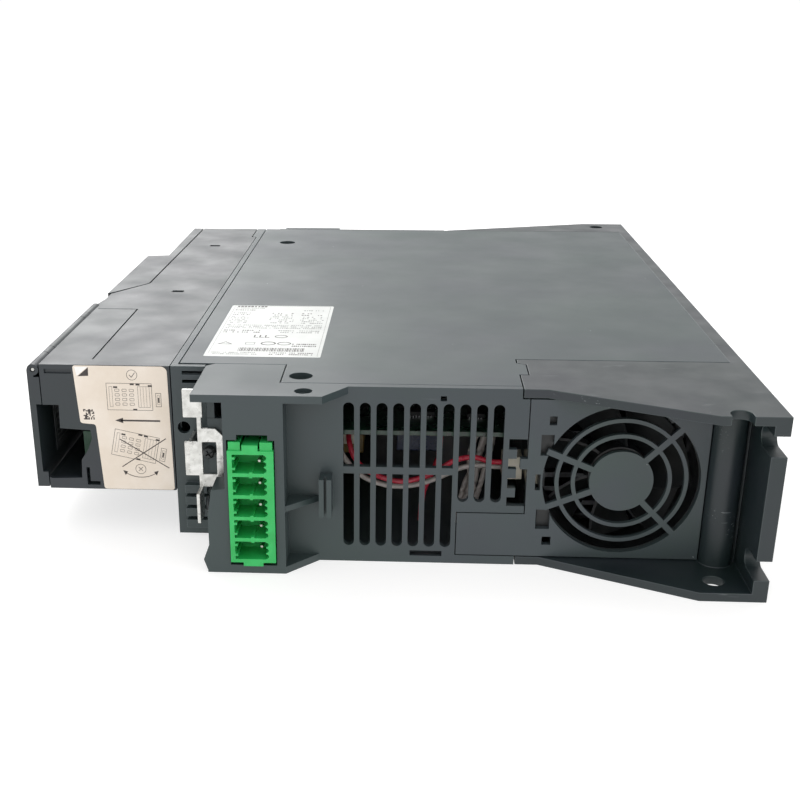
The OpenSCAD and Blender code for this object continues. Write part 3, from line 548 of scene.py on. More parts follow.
PAPER_WHITE = Finish("unprinted_paper", "#f1efec", "#e8e6e2", "#f6f5f3", patch=1.5, roughness=0.5)
GLASS = Finish("display_filter", "#1b1012", "#160d0f", "#221416", patch=10, roughness=0.08, rough_drift=0.03,
               grain_depth=0.001, coat=0.6, alpha=0.72)
LIT = Finish("lit_segment", "#ff3b24", "#ff2c18", "#ff5236", patch=2, roughness=0.4, glow=2.2)
UNLIT = Finish("display_body", "#191315", "#1e1719", "#140f10", patch=4, roughness=0.5)
LED = Finish("led_resin", "#7fd18b", "#6fc57d", "#93dba0", patch=1.5, roughness=0.2, subsurface=0.3, glow=0.5)
KEY = Finish("key_elastomer", "#8f9598", "#868c90", "#999fa1", patch=3, roughness=0.55, grain=0.25)
KEY_RUN = Finish("run_key_elastomer", "#2f9e55", "#288f4a", "#3aa961", patch=3, roughness=0.5, grain=0.25)
KEY_STOP = Finish("stop_key_elastomer", "#b8322f", "#a82a28", "#c4403b", patch=3, roughness=0.5, grain=0.25)
LEGEND = Finish("key_legend", "#f0f1ef", "#e6e8e6", "#f6f6f4", patch=1.0, roughness=0.45)
SOLDER = Finish("solder_joint", "#b7b9bb", "#a4a6a8", "#c9cbcc", patch=0.8, roughness=0.22, metallic=1.0)
GREY_LEAF = Finish("door_leaf_print", "#4b4e50", "#3f4244", "#5a5d5e", patch=3, share=0.7, roughness=0.5,
                   grain=0.6, grain_depth=0.05)


def body_of_node(node: str) -> str:
    """Name of the moving body that a CAD node belongs to."""
    return frame["nodes"][node]["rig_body"]


def box_mm(node: str) -> tuple[Vector, Vector]:
    """Lowest and highest corner of a CAD node, in millimetres."""
    low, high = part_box(node)
    return low / MM, high / MM


def evaluated_mesh(holder: Item) -> Mesh:
    """Plain mesh of an object with its modifiers worked in; the object goes."""
    graph = bpy.context.evaluated_depsgraph_get()
    mesh = bpy.data.meshes.new_from_object(holder.evaluated_get(graph))
    bpy.data.objects.remove(holder)
    return mesh


def held(mesh: Mesh) -> Item:
    """Put a mesh in the scene for a modifier to work on."""
    holder = bpy.data.objects.new("holder", mesh)
    bpy.context.scene.collection.objects.link(holder)
    return holder


def make_piece(mesh: Mesh, name: str, body: str, finishes: Sequence[Finish],
               stands_for: Sequence[str] = (), sharp_deg: float = 32.0) -> Item:
    """Turn a mesh in metres into a piece that rides on a body.

    Args:
        mesh: The finished mesh, in the drive's own frame.
        name: The piece's name.
        body: The CAD body that it moves with.
        finishes: Finishes, in the order of the mesh's material numbers.
        stands_for: CAD nodes that the piece replaces.
        sharp_deg: Edges sharper than this stay sharp, in degrees.

    Returns:
        The new object.
    """
    mesh.shade_smooth()
    mesh.set_sharp_from_angle(angle=math.radians(sharp_deg))
    holder = held(mesh)
    level = holder.modifiers.new("Level", "WEIGHTED_NORMAL")
    level.keep_sharp = True
    mesh = evaluated_mesh(holder)
    mesh.name = name
    numbers = [face.material_index for face in mesh.polygons]
    mesh.materials.clear()
    for finish in finishes:
        mesh.materials.append(finish.make())
    mesh.polygons.foreach_set("material_index", numbers)
    piece = bpy.data.objects.new(name, mesh)
    bpy.context.scene.collection.objects.link(piece)
    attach(piece, body)
    if stands_for:
        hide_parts(*stands_for)
    log.info("%s: %d faces on %s", name, len(mesh.polygons), body)
    return piece


def cad_mesh(node: str) -> Mesh:
    """A CAD node's own mesh, in metres; it is never changed."""
    return frame["nodes"][node].data


def broken_edges(source: Mesh, width: float, segments: int = 2, angle_deg: float = 30.0) -> Mesh:
    """Copy a mesh and break its edges as a mould does.

    Args:
        source: The mesh to copy, in metres.
        width: Width of the broken edge, in millimetres.
        segments: Steps across the broken edge.
        angle_deg: Edges that bend more than this are broken.

    Returns:
        A mesh whose broken edges carry material number 1; a lighter finish given there is a painted edge highlight.
    """
    bm = bmesh.new()
    bm.from_mesh(source)
    bmesh.ops.remove_doubles(bm, verts=bm.verts, dist=2e-6)
    bmesh.ops.dissolve_limit(bm, angle_limit=math.radians(0.6), verts=bm.verts, edges=bm.edges)
    for face in bm.faces:
        face.material_index = 0
    mesh = bpy.data.meshes.new("copy")
    bm.to_mesh(mesh)
    bm.free()
    mesh.materials.append(None)
    mesh.materials.append(None)
    holder = held(mesh)
    bevel = holder.modifiers.new("Edge", "BEVEL")
    bevel.width = width * MM
    bevel.segments = segments
    bevel.limit_method = "ANGLE"
    bevel.angle_limit = math.radians(angle_deg)
    bevel.use_clamp_overlap = True
    bevel.material = 1
    return evaluated_mesh(holder)


class Shape:
    """Gathers faces in millimetres and turns them into one piece."""

    def __init__(self) -> None:
        """Start with nothing."""
        self.bm = bmesh.new()

    def _soften(self, verts: Iterable[bmesh.types.BMVert], width: float, segments: int) -> None:
        """Round every edge of the faces just added."""
        # A dict keeps its order, where a set would hand the edges over differently in each run
        edges = dict.fromkeys(e for v in verts for e in v.link_edges if e.calc_face_angle(0.0) > 0.5)
        bmesh.ops.bevel(self.bm, geom=list(edges), offset=width, segments=segments, profile=0.5,
                        affect="EDGES", clamp_overlap=True)

    def block(self, low: Point, high: Point, soft: float = 0.0, finish: int = 0, segments: int = 2,
              turn: Matrix | None = None) -> "Shape":
        """Add a box between two corners, with rounded edges where asked."""
        centre = (Vector(low) + Vector(high)) / 2
        size = Vector(high) - Vector(low)
        matrix = Matrix.Translation(centre) @ (turn or Matrix.Identity(4)) @ Matrix.Diagonal((*size, 1.0))
        before = set(self.bm.faces)
        made = bmesh.ops.create_cube(self.bm, size=1.0, matrix=matrix)
        if soft:
            self._soften(made["verts"], soft, segments)
        self._paint(before, finish)
        return self

    def _paint(self, before: set[bmesh.types.BMFace], finish: int) -> None:
        """Give the faces added since a snapshot their material number."""
        for face in self.bm.faces:
            if face not in before:
                face.material_index = finish

    def _face_out(self, before: set[bmesh.types.BMFace]) -> None:
        """Point the faces added since a snapshot outwards."""
        bmesh.ops.recalc_face_normals(self.bm, faces=[f for f in self.bm.faces if f not in before])

    def prism(self, outline: Sequence[Point], axis: Axis, low: float, high: float, soft: float = 0.0,
              finish: int = 0) -> "Shape":
        """Extrude a flat outline along an axis."""
        along, first, second = axis.value
        before = set(self.bm.faces)
        rings = []
        for level in (low, high):
            ring = []
            for point in outline:
                spot = [0.0, 0.0, 0.0]
                spot[along], spot[first], spot[second] = level, point[0], point[1]
                ring.append(self.bm.verts.new(spot))
            rings.append(ring)
        self.bm.faces.new(rings[0])
        self.bm.faces.new(rings[1][::-1])
        count = len(outline)
        for i in range(count):
            j = (i + 1) % count
            self.bm.faces.new((rings[0][j], rings[0][i], rings[1][i], rings[1][j]))
        self._face_out(before)
        if soft:
            self._soften(rings[0] + rings[1], soft, 2)
        self._paint(before, finish)
        return self

    def lathe(self, profile: Sequence[Point], centre: Point, direction: Point, sides: int = 40,
              finish: int = 0) -> "Shape":
        """Turn a profile of (radius, distance) points about a line.

        Args:
            profile: Points from one end to the other; radius zero closes an end.
            centre: Where distance zero lies.
            direction: The way that distance grows.
            sides: Steps round the turn.
            finish: Material number.

        Returns:
            The shape itself.
        """
        before = set(self.bm.faces)
        frame_turn = Vector(direction).normalized().to_track_quat("Z", "Y").to_matrix().to_4x4()
        matrix = Matrix.Translation(Vector(centre)) @ frame_turn
        rings: list[list[bmesh.types.BMVert]] = []
        for radius, distance in profile:
            if radius <= 1e-6:
                rings.append([self.bm.verts.new(matrix @ Vector((0, 0, distance)))])
                continue
            ring = []
            for k in range(sides):
                a = 2 * math.pi * k / sides
                ring.append(self.bm.verts.new(matrix @ Vector((radius * math.cos(a), radius * math.sin(a), distance))))
            rings.append(ring)
        for a, b in zip(rings, rings[1:]):
            for k in range(sides):
                m = (k + 1) % sides
                if len(a) == 1 and len(b) == 1:
                    continue
                if len(a) == 1:
                    self.bm.faces.new((a[0], b[m], b[k]))
                elif len(b) == 1:
                    self.bm.faces.new((a[k], a[m], b[0]))
                else:
                    self.bm.faces.new((a[k], a[m], b[m], b[k]))
        for ring in (rings[0], rings[-1]):
            if len(ring) > 1:
                self.bm.faces.new(ring)
        self._face_out(before)
        self._paint(before, finish)
        return self

    def line(self, points: Sequence[Point], radius: float, sides: int = 12, finish: int = 0,
             closed: bool = False) -> "Shape":
        """Sweep a round bar along a list of points."""
        path = [Vector(p) for p in points]
        before = set(self.bm.faces)
        rings = []
        side = Vector((0.21, 0.11, 1.0))
        for i, spot in enumerate(path):
            after = path[(i + 1) % len(path)] if closed or i + 1 < len(path) else spot
            prior = path[i - 1] if closed or i else spot
            way = (after - prior).normalized()
            across = way.cross(side).normalized()
            up = across.cross(way)
            rings.append([self.bm.verts.new(spot + radius * (math.cos(a) * across + math.sin(a) * up))
                          for a in (2 * math.pi * k / sides for k in range(sides))])
        pairs = list(zip(rings, rings[1:])) + ([(rings[-1], rings[0])] if closed else [])
        for a, b in pairs:
            for k in range(sides):
                m = (k + 1) % sides
                self.bm.faces.new((a[k], a[m], b[m], b[k]))
        if not closed:
            self.bm.faces.new(rings[0])
            self.bm.faces.new(rings[-1])
        self._face_out(before)
        self._paint(before, finish)
        return self

    def take(self, mesh: Mesh, finish: int | None = None) -> "Shape":
        """Add a mesh that is in metres."""
        before = set(self.bm.faces)
        fresh = bmesh.new()
        fresh.from_mesh(mesh)
        fresh.transform(Matrix.Scale(1 / MM, 4))
        spare = bpy.data.meshes.new("spare")
        fresh.to_mesh(spare)
        fresh.free()
        self.bm.from_mesh(spare)
        bpy.data.meshes.remove(spare)
        if finish is not None:
            self._paint(before, finish)
        return self

    def mesh(self) -> Mesh:
        """The gathered faces as a mesh in metres."""
        self.bm.transform(Matrix.Scale(MM, 4))
        made = bpy.data.meshes.new("shape")
        self.bm.to_mesh(made)
        self.bm.free()
        return made

    def piece(self, name: str, body: str, slot: Slot, finishes: Sequence[Finish],
              stands_for: Sequence[str] = ()) -> Item:
        """Make the gathered faces one piece."""
        return make_piece(self.mesh(), name, body, finishes, stands_for)


def smooth_path(points: Sequence[Point], steps: int = 6) -> list[Vector]:
    """Points of a smooth curve through all the given points."""
    spots = [Vector(p) for p in points]
    path = []
    for i in range(len(spots) - 1):
        before, start = spots[max(i - 1, 0)], spots[i]
        end, after = spots[i + 1], spots[min(i + 2, len(spots) - 1)]
        for k in range(steps):
            t = k / steps
            path.append(0.5 * ((2 * start) + (end - before) * t + (2 * before - 5 * start + 4 * end - after) * t * t
                               + (3 * start - before - 3 * end + after) * t ** 3))
    path.append(spots[-1])
    return path


def arc(centre: Point, radius: float, start_deg: float, end_deg: float, steps: int) -> list[tuple[float, float]]:
    """Points of a flat arc."""
    turn = [math.radians(start_deg + (end_deg - start_deg) * k / steps) for k in range(steps + 1)]
    return [(centre[0] + radius * math.cos(a), centre[1] + radius * math.sin(a)) for a in turn]


def rounded_outline(corners: Sequence[Point], radius: float, steps: int = 4) -> list[tuple[float, float]]:
    """An outline with its corners rounded."""
    result = []
    count = len(corners)
    for i, corner in enumerate(corners):
        here = Vector(corner[:2])
        back = (Vector(corners[i - 1][:2]) - here)
        ahead = (Vector(corners[(i + 1) % count][:2]) - here)
        cut = min(radius, back.length / 2.2, ahead.length / 2.2)
        start, end = here + back.normalized() * cut, here + ahead.normalized() * cut
        for k in range(steps + 1):
            t = k / steps
            spot = start * (1 - t) ** 2 + here * 2 * t * (1 - t) + end * t * t
            result.append((spot.x, spot.y))
    return result


# ---------------------------------------------------------------- geometry-node trees


class Trees:
    """Geometry-node trees for what repeats or follows a path, built once each."""

    def __init__(self) -> None:
        """Build every tree; all lengths that they take are in metres."""
        self.repeat = self._repeat()
        self.blocks = self._blocks()
        self.print_rows = self._print_rows()
        self.frames = self._frames()
        self.blades = self._blades()
        self.winding = self._winding()

    def grow(self, tree: Tree, values: dict[str, Any], points: Sequence[Point] = ()) -> Mesh:
        """Run a tree and return its result as a plain mesh.

        Args:
            tree: One of this class's trees.
            values: Input values by name.
            points: Points that the tree builds on, in millimetres.

        Returns:
            The resulting mesh, in metres.
        """
        base = bpy.data.meshes.new("points")
        base.from_pydata([Vector(p) * MM for p in points], [], [])
        holder = held(base)
        modifier = holder.modifiers.new("Build", "NODES")
        modifier.node_group = tree
        for item in tree.interface.items_tree:
            if item.item_type == "SOCKET" and item.in_out == "INPUT" and item.name in values:
                modifier[item.identifier] = values[item.name]
        return evaluated_mesh(holder)

    def _open(self, name: str, inputs: dict[str, Any]) -> tuple[Graph, Any, Socket]:
        """Start a tree that takes points, its own inputs and a finish."""
        inputs = {"Points": Kind.GEOMETRY, **inputs, "Finish": Kind.MATERIAL}
        return new_group(name, "GeometryNodeTree", inputs, {"Geometry": Kind.GEOMETRY})

    def _line(self, graph: Graph, count: Any, offset: Any, start: Any = None) -> Socket:
        """Points in a straight row."""
        inputs = {"Count": count, "Offset": offset}
        if start is not None:
            inputs["Start Location"] = start
        return graph.add("GeometryNodeMeshLine", inputs, mode="OFFSET").outputs[0]

    def _grid(self, graph: Graph, given: Any, columns: str) -> Socket:
        """Points in rows and columns."""
        row = self._line(graph, given[columns], given["Across"], given["Start"])
        rows = self._line(graph, given["Rows"], given["Down"])
        grid = graph.add("GeometryNodeInstanceOnPoints", {"Points": rows, "Instance": row})
        return graph.add("GeometryNodeRealizeInstances", {"Geometry": grid.outputs[0]}).outputs[0]

    def _close(self, graph: Graph, shape: Socket, given: Any, result: Socket) -> Tree:
        """End a tree in Realize Instances and Set Material."""
        real = graph.add("GeometryNodeRealizeInstances", {"Geometry": shape})
        dressed = graph.add("GeometryNodeSetMaterial", {
            "Geometry": real.outputs[0], "Material": given["Finish"]})
        graph.tree.links.new(dressed.outputs[0], result)
        return graph.tree

    def _repeat(self) -> Tree:
        """One shape set down on every point, each with a turn about its own axis."""
        graph, given, result = self._open("repeat_shape", {
            "Shape": Kind.OBJECT, "Turn": Kind.VECTOR,
            "Spin": 0.0, "Seed": 0,
        })
        shape = graph.add("GeometryNodeObjectInfo", {"Object": given["Shape"]})
        luck = graph.add("FunctionNodeRandomValue", {"Seed": given["Seed"]}, data_type="FLOAT")
        angle = graph.times(luck.outputs[1], given["Spin"])
        spin = graph.add("FunctionNodeEulerToRotation", {0: graph.xyz(0.0, 0.0, angle)})
        turn = graph.add("FunctionNodeEulerToRotation", {0: given["Turn"]})
        both = graph.add("FunctionNodeRotateRotation", {0: turn.outputs[0], 1: spin.outputs[0]},
                         rotation_space="LOCAL")
        set_down = graph.add("GeometryNodeInstanceOnPoints", {
            "Points": given["Points"], "Instance": shape.outputs["Geometry"],
            "Rotation": both.outputs[0]})
        return self._close(graph, set_down.outputs[0], given, result)

    def _blocks(self) -> Tree:
        """A straight row of equal blocks, for ribs, fins, teeth, pins and windows."""
        graph, given, result = self._open("block_row", {
            "Start": Kind.VECTOR, "Step": Kind.VECTOR,
            "Count": 5, "Size": Kind.VECTOR, "Jitter": 0.0,
            "Seed": 0,
        })
        row = self._line(graph, given["Count"], given["Step"], given["Start"])
        block = graph.add("GeometryNodeMeshCube", {"Size": given["Size"]})
        least = graph.math("SUBTRACT", 1.0, given["Jitter"])
        luck = graph.add("FunctionNodeRandomValue", {
            2: least, 3: graph.plus(1.0, given["Jitter"]), "Seed": given["Seed"]},
            data_type="FLOAT")
        set_down = graph.add("GeometryNodeInstanceOnPoints", {
            "Points": row, "Instance": block.outputs[0],
            "Scale": graph.xyz(luck.outputs[1], luck.outputs[1], 1.0)})
        return self._close(graph, set_down.outputs[0], given, result)

    def _print_rows(self) -> Tree:
        """Rows of short printed bars of uneven length, as dense small print reads."""
        graph, given, result = self._open("print_rows", {
            "Start": Kind.VECTOR, "Across": Kind.VECTOR,
            "Down": Kind.VECTOR, "Marks": 20, "Rows": 2,
            "Mark": Kind.VECTOR, "Gaps": 0.2, "Seed": 1,
        })
        spots = self._grid(graph, given, "Marks")
        gap = graph.add("FunctionNodeRandomValue", {"Seed": given["Seed"]}, data_type="FLOAT")
        lost = graph.math("LESS_THAN", gap.outputs[1], given["Gaps"])
        kept = graph.add("GeometryNodeDeleteGeometry", {"Geometry": spots, "Selection": lost}, domain="POINT")
        mark = graph.add("GeometryNodeMeshCube", {"Size": given["Mark"]})
        width = graph.add("FunctionNodeRandomValue", {
            2: 0.35, 3: 1.0, "Seed": graph.plus(given["Seed"], 7.0)}, data_type="FLOAT")
        set_down = graph.add("GeometryNodeInstanceOnPoints", {
            "Points": kept.outputs[0], "Instance": mark.outputs[0],
            "Scale": graph.xyz(width.outputs[1], 1.0, 1.0)})
        return self._close(graph, set_down.outputs[0], given, result)

    def _frames(self) -> Tree:
        """A grid of thin rounded frames, drawn flat, for line drawings of windows."""
        graph, given, result = self._open("frame_grid", {
            "Start": Kind.VECTOR, "Across": Kind.VECTOR,
            "Down": Kind.VECTOR, "Columns": 3, "Rows": 4,
            "Width": 0.002, "Height": 0.001, "Corner": 0.0003,
            "Line": 0.00008, "Turn": Kind.VECTOR,
        })
        window = graph.add("GeometryNodeCurvePrimitiveQuadrilateral", {
            "Width": given["Width"], "Height": given["Height"]}, mode="RECTANGLE")
        soft = graph.add("GeometryNodeFilletCurve", {
            "Curve": window.outputs[0], "Radius": given["Corner"]}, mode="POLY")
        count_socket = soft.inputs.get("Count")
        if count_socket is not None:
            count_socket.default_value = 3
        nib = graph.add("GeometryNodeCurvePrimitiveQuadrilateral", {
            "Width": given["Line"], "Height": given["Line"]}, mode="RECTANGLE")
        drawn = graph.add("GeometryNodeCurveToMesh", {"Curve": soft.outputs[0], "Profile Curve": nib.outputs[0]})
        set_down = graph.add("GeometryNodeInstanceOnPoints", {
            "Points": self._grid(graph, given, "Columns"), "Instance": drawn.outputs[0],
            "Rotation": given["Turn"]})
        return self._close(graph, set_down.outputs[0], given, result)

    def _blades(self) -> Tree:
        """Curved, twisted fan blades round the Y axis.

        Each blade is a sheet whose chord leans more at the tip than at the
        root and curves across its width; it is thickened and turned in steps.
        """
        graph, given, result = self._open("fan_blades", {
            "Centre": Kind.VECTOR, "Root": 0.009,
            "Tip": 0.024, "Depth": 0.011, "Sweep": 0.75,
            "Camber": 0.0016, "Thickness": 0.0009, "Blades": 7,
        })
        sheet = graph.add("GeometryNodeMeshGrid", {
            "Size X": 1.0, "Size Y": 1.0, "Vertices X": 13, "Vertices Y": 11})
        spot = graph.add("GeometryNodeInputPosition")
        parts = graph.add("ShaderNodeSeparateXYZ", {0: spot.outputs[0]})
        along = graph.plus(parts.outputs[0], 0.5)
        chord = parts.outputs[1]
        radius = graph.ramp(along, 0.0, 1.0, given["Root"], given["Tip"])
        lean = graph.times(given["Sweep"], graph.math("SUBTRACT", 1.15, graph.times(along, 0.3)))
        angle = graph.plus(graph.times(chord, lean), graph.times(along, 0.22))
        bow = graph.times(graph.math("SUBTRACT", 0.25, graph.times(chord, chord)), 4.0)
        depth = graph.plus(graph.times(chord, given["Depth"]), graph.times(bow, given["Camber"]))
        place = graph.xyz(graph.times(radius, graph.math("COSINE", angle)), depth,
                          graph.times(radius, graph.math("SINE", angle)))
        bent = graph.add("GeometryNodeSetPosition", {"Geometry": sheet.outputs[0], "Position": place})
        thick = graph.add("GeometryNodeExtrudeMesh", {
            "Mesh": bent.outputs[0], "Offset Scale": given["Thickness"], "Individual": False}, mode="FACES")
        back = graph.add("GeometryNodeFlipFaces", {"Mesh": bent.outputs[0]})
        whole = graph.add("GeometryNodeJoinGeometry")
        graph.tree.links.new(thick.outputs[0], whole.inputs[0])
        graph.tree.links.new(back.outputs[0], whole.inputs[0])
        sealed = graph.add("GeometryNodeMergeByDistance", {"Geometry": whole.outputs[0], "Distance": 0.000001})
        hub = self._line(graph, given["Blades"], (0.0, 0.0, 0.0), given["Centre"])
        index = graph.add("GeometryNodeInputIndex")
        share = graph.math("DIVIDE", index.outputs[0], given["Blades"])
        turn = graph.xyz(0.0, graph.times(share, 2 * math.pi), 0.0)
        set_down = graph.add("GeometryNodeInstanceOnPoints", {
            "Points": hub, "Instance": sealed.outputs[0], "Rotation": turn})
        return self._close(graph, set_down.outputs[0], given, result)

    def _winding(self) -> Tree:
        """Wire wound round a ring whose axis is X."""
        graph, given, result = self._open("ring_winding", {
            "Centre": Kind.VECTOR, "Ring": 0.011,
            "Section": 0.005, "Turns": 26.0, "Share": 0.9,
            "Wire": 0.0005,
        })
        start = graph.add("GeometryNodeCurvePrimitiveLine")
        fine = graph.add("GeometryNodeResampleCurve", {"Curve": start.outputs[0], "Count": 620})
        along = graph.add("GeometryNodeSplineParameter").outputs[0]
        around = graph.times(along, graph.times(given["Turns"], 2 * math.pi))
        about = graph.times(along, graph.times(given["Share"], 2 * math.pi))
        reach = graph.plus(given["Ring"], graph.times(given["Section"], graph.math("COSINE", around)))
        spot = graph.xyz(graph.times(given["Section"], graph.math("SINE", around)),
                         graph.times(reach, graph.math("COSINE", about)),
                         graph.times(reach, graph.math("SINE", about)))
        coil = graph.add("GeometryNodeSetPosition", {
            "Geometry": fine.outputs[0], "Position": graph.vector("ADD", spot, given["Centre"])})
        wire = graph.add("GeometryNodeCurvePrimitiveCircle", {"Resolution": 7, "Radius": given["Wire"]})
        swept = graph.add("GeometryNodeCurveToMesh", {
            "Curve": coil.outputs[0], "Profile Curve": wire.outputs[0], "Fill Caps": True})
        return self._close(graph, swept.outputs[0], given, result)


TREES = Trees()


def metres(point: Point) -> tuple[float, float, float]:
    """A millimetre point or size in metres, for a tree's input."""
    return (point[0] * MM, point[1] * MM, point[2] * MM)


def block_row(start: Point, step: Point, count: int, size: Point, finish: Finish,
              jitter: float = 0.0, seed: int = 0) -> Mesh:
    """A row of blocks by the block_row tree, in metres."""
    return TREES.grow(TREES.blocks, {
        "Start": metres(start), "Step": metres(step), "Count": count, "Size": metres(size),
        "Jitter": jitter, "Seed": seed, "Finish": finish.make()})


class ScrewDrive(Enum):
    """Recess of a screw head."""

    CROSS = "cross"
    SLOT = "slot"


@dataclass(frozen=True)
class ScrewHead:
    """A pan head with a washer face, standing on the XY plane."""

    radius: float
    height: float
    drive: ScrewDrive = ScrewDrive.CROSS

    def master(self, finish: Finish) -> Item:
        """One head as an object to set down; the caller removes it."""
        r, h = self.radius, self.height
        shape = Shape()
        shape.lathe([(0, 0), (r * 0.93, 0), (r, h * 0.12), (r, h * 0.5), (r * 0.86, h * 0.82), (r * 0.6, h * 0.97),
                     (0, h)], (0, 0, 0), (0, 0, 1), 28)
        head = held(shape.mesh())
        arms = (0, 90) if self.drive is ScrewDrive.CROSS else (0,)
        tool = Shape()
        for angle in arms:
            tool.block((-r * 0.6, -r * 0.12, h * 0.45), (r * 0.6, r * 0.12, h * 1.6),
                       turn=Matrix.Rotation(math.radians(angle), 4, "Z"))
        if self.drive is ScrewDrive.CROSS:
            tool.lathe([(0, h * 0.35), (r * 0.26, h * 0.7), (r * 0.34, h * 1.6), (0, h * 1.6)], (0, 0, 0), (0, 0, 1), 12)
        cutter = held(tool.mesh())
        cut = head.modifiers.new("Cut", "BOOLEAN")
        cut.operation = "DIFFERENCE"
        cut.solver = "EXACT"
        cut.use_self = True
        cut.object = cutter
        mesh = evaluated_mesh(head)
        bpy.data.objects.remove(cutter)
        mesh.materials.clear()
        mesh.materials.append(finish.make())
        return held(mesh)


def repeated(master: Item, points: Sequence[Point], turn: Point, finish: Finish,
             spin: float = 0.0, seed: int = 0, keep: bool = False) -> Mesh:
    """Set a shape down on points with the repeat_shape tree.

    Args:
        master: The shape, an object at the origin.
        points: Where it goes, in millimetres.
        turn: Its rotation in degrees about X, Y and Z.
        finish: Finish of the result.
        spin: Largest random turn about its own axis, in radians.
        seed: Seed of the random turns.
        keep: Whether the master is needed again.

    Returns:
        The repeated mesh, in metres.
    """
    values = {"Shape": master, "Turn": tuple(math.radians(a) for a in turn), "Spin": spin, "Seed": seed,
              "Finish": finish.make()}
    mesh = TREES.grow(TREES.repeat, values, points)
    if not keep:
        bpy.data.objects.remove(master)
    return mesh


@dataclass(frozen=True)
class MouldedNode:
    """A CAD node that is shown as a copy with broken edges."""

    node: str
    slot: Slot
    body_finish: Finish
    # Finish of the broken edges; one lighter than body_finish is a painted highlight.
    edge_finish: Finish
    edge: float = 0.3
    segments: int = 2
    name: str = ""
    angle_deg: float = 30.0

    def build(self) -> Item:
        """Make the copy and put it in the node's place."""
        mesh = broken_edges(cad_mesh(self.node), self.edge, self.segments, self.angle_deg)
        return make_piece(mesh, self.name or f"{self.node}_shell", body_of_node(self.node),
                          (self.body_finish, self.edge_finish), (self.node,))


# ---------------------------------------------------------------- sub-assemblies


@dataclass
class Print:
    """Flat print on a face: a corner, the reading directions and the ink's rise."""

    shape: Shape
    corner: Point
    right: Point
    down: Point
    rise: float = 0.03

    def __post_init__(self) -> None:
        """Work out the way that the ink stands off."""
        self.x = Vector(self.right).normalized()
        self.y = Vector(self.down).normalized()
        self.out = self.y.cross(self.x)

    def at(self, u: float, v: float, lift: float = 0.0) -> Vector:
        """A spot on the face, by its distance to the right and down."""
        return Vector(self.corner) + self.x * u + self.y * v + self.out * lift

    def fill(self, outline: Sequence[Point], finish: int) -> None:
        """Print a solid area."""
        before = set(self.shape.bm.faces)
        low = [self.shape.bm.verts.new(self.at(p[0], p[1])) for p in outline]
        high = [self.shape.bm.verts.new(self.at(p[0], p[1], self.rise)) for p in outline]
        faces = [self.shape.bm.faces.new(low), self.shape.bm.faces.new(high[::-1])]
        count = len(outline)
        for i in range(count):
            j = (i + 1) % count
            faces.append(self.shape.bm.faces.new((low[j], low[i], high[i], high[j])))
        bmesh.ops.recalc_face_normals(self.shape.bm, faces=faces)
        self.shape._paint(before, finish)

    def stroke(self, points: Sequence[Point], width: float, finish: int, closed: bool = False) -> None:
        """Print a line of even width through points."""
        spots = [Vector(p[:2]) for p in points]
        pairs = list(zip(spots, spots[1:])) + ([(spots[-1], spots[0])] if closed else [])
        for start, end in pairs:
            way = (end - start).normalized()
            side = Vector((-way.y, way.x)) * width / 2
            back, ahead = start - way * width / 3, end + way * width / 3
            self.fill([back - side, ahead - side, ahead + side, back + side], finish)

    def area(self, left: float, top: float, right: float, bottom: float, finish: int) -> None:
        """Print a solid upright rectangle."""
        self.fill([(left, top), (right, top), (right, bottom), (left, bottom)], finish)

    def ring(self, centre: Point, radius: float, width: float, finish: int, squeeze: float = 1.0) -> None:
        """Print a ring or an oval."""
        turn = arc((0, 0), radius, 0, 345, 23)
        self.stroke([(centre[0] + p[0], centre[1] + p[1] * squeeze) for p in turn], width, finish, True)

    def rows(self, start: Point, length: float, marks: int, height: float, finish: Finish, number: int,
             rows: int = 1, pitch: float = 2.0, gaps: float = 0.22, seed: int = 1) -> None:
        """Print rows of uneven marks with the print_rows tree.

        Args:
            start: First mark, to the right and down from the corner.
            length: Length of a row.
            marks: Marks in a full row.
            height: Height of the marks.
            finish: The ink.
            number: Material number of the ink.
            rows: How many rows.
            pitch: Distance between rows.
            gaps: Share of marks left out.
            seed: Seed of the gaps and lengths.
        """
        step = length / marks
        size = self.x * step * 0.92 + self.y * height + self.out * self.rise
        mesh = TREES.grow(TREES.print_rows, {
            "Start": metres(self.at(start[0] + step / 2, start[1], self.rise / 2)), "Across": metres(self.x * step),
            "Down": metres(self.y * pitch), "Marks": marks, "Rows": rows,
            "Mark": metres([abs(c) for c in size]), "Gaps": gaps, "Seed": seed, "Finish": finish.make()})
        self.shape.take(mesh, number)

    def windows(self, start: Point, columns: int, rows: int, pitch: Point, size: Point, line: float,
                finish: Finish, number: int, tilt_deg: float = 0.0) -> None:
        """Print a grid of small rounded frames with the frame_grid tree.

        Args:
            start: Centre of the first frame.
            columns: Frames across.
            rows: Frames down.
            pitch: Spacing across and down.
            size: Width and height of a frame.
            line: Width of its line.
            finish: The ink.
            number: Material number of the ink.
            tilt_deg: Clockwise tilt of the whole grid.
        """
        a = math.radians(tilt_deg)
        across = self.x * math.cos(a) + self.y * math.sin(a)
        below = self.y * math.cos(a) - self.x * math.sin(a)
        turn = Matrix((across, -below, self.out)).transposed().to_euler()
        mesh = TREES.grow(TREES.frames, {
            "Start": metres(self.at(start[0], start[1], self.rise / 2)), "Across": metres(across * pitch[0]),
            "Down": metres(below * pitch[1]), "Columns": columns, "Rows": rows, "Width": size[0] * MM,
            "Height": size[1] * MM, "Corner": min(size) * 0.22 * MM, "Line": line * MM, "Turn": tuple(turn),
            "Finish": finish.make()})
        self.shape.take(mesh, number)


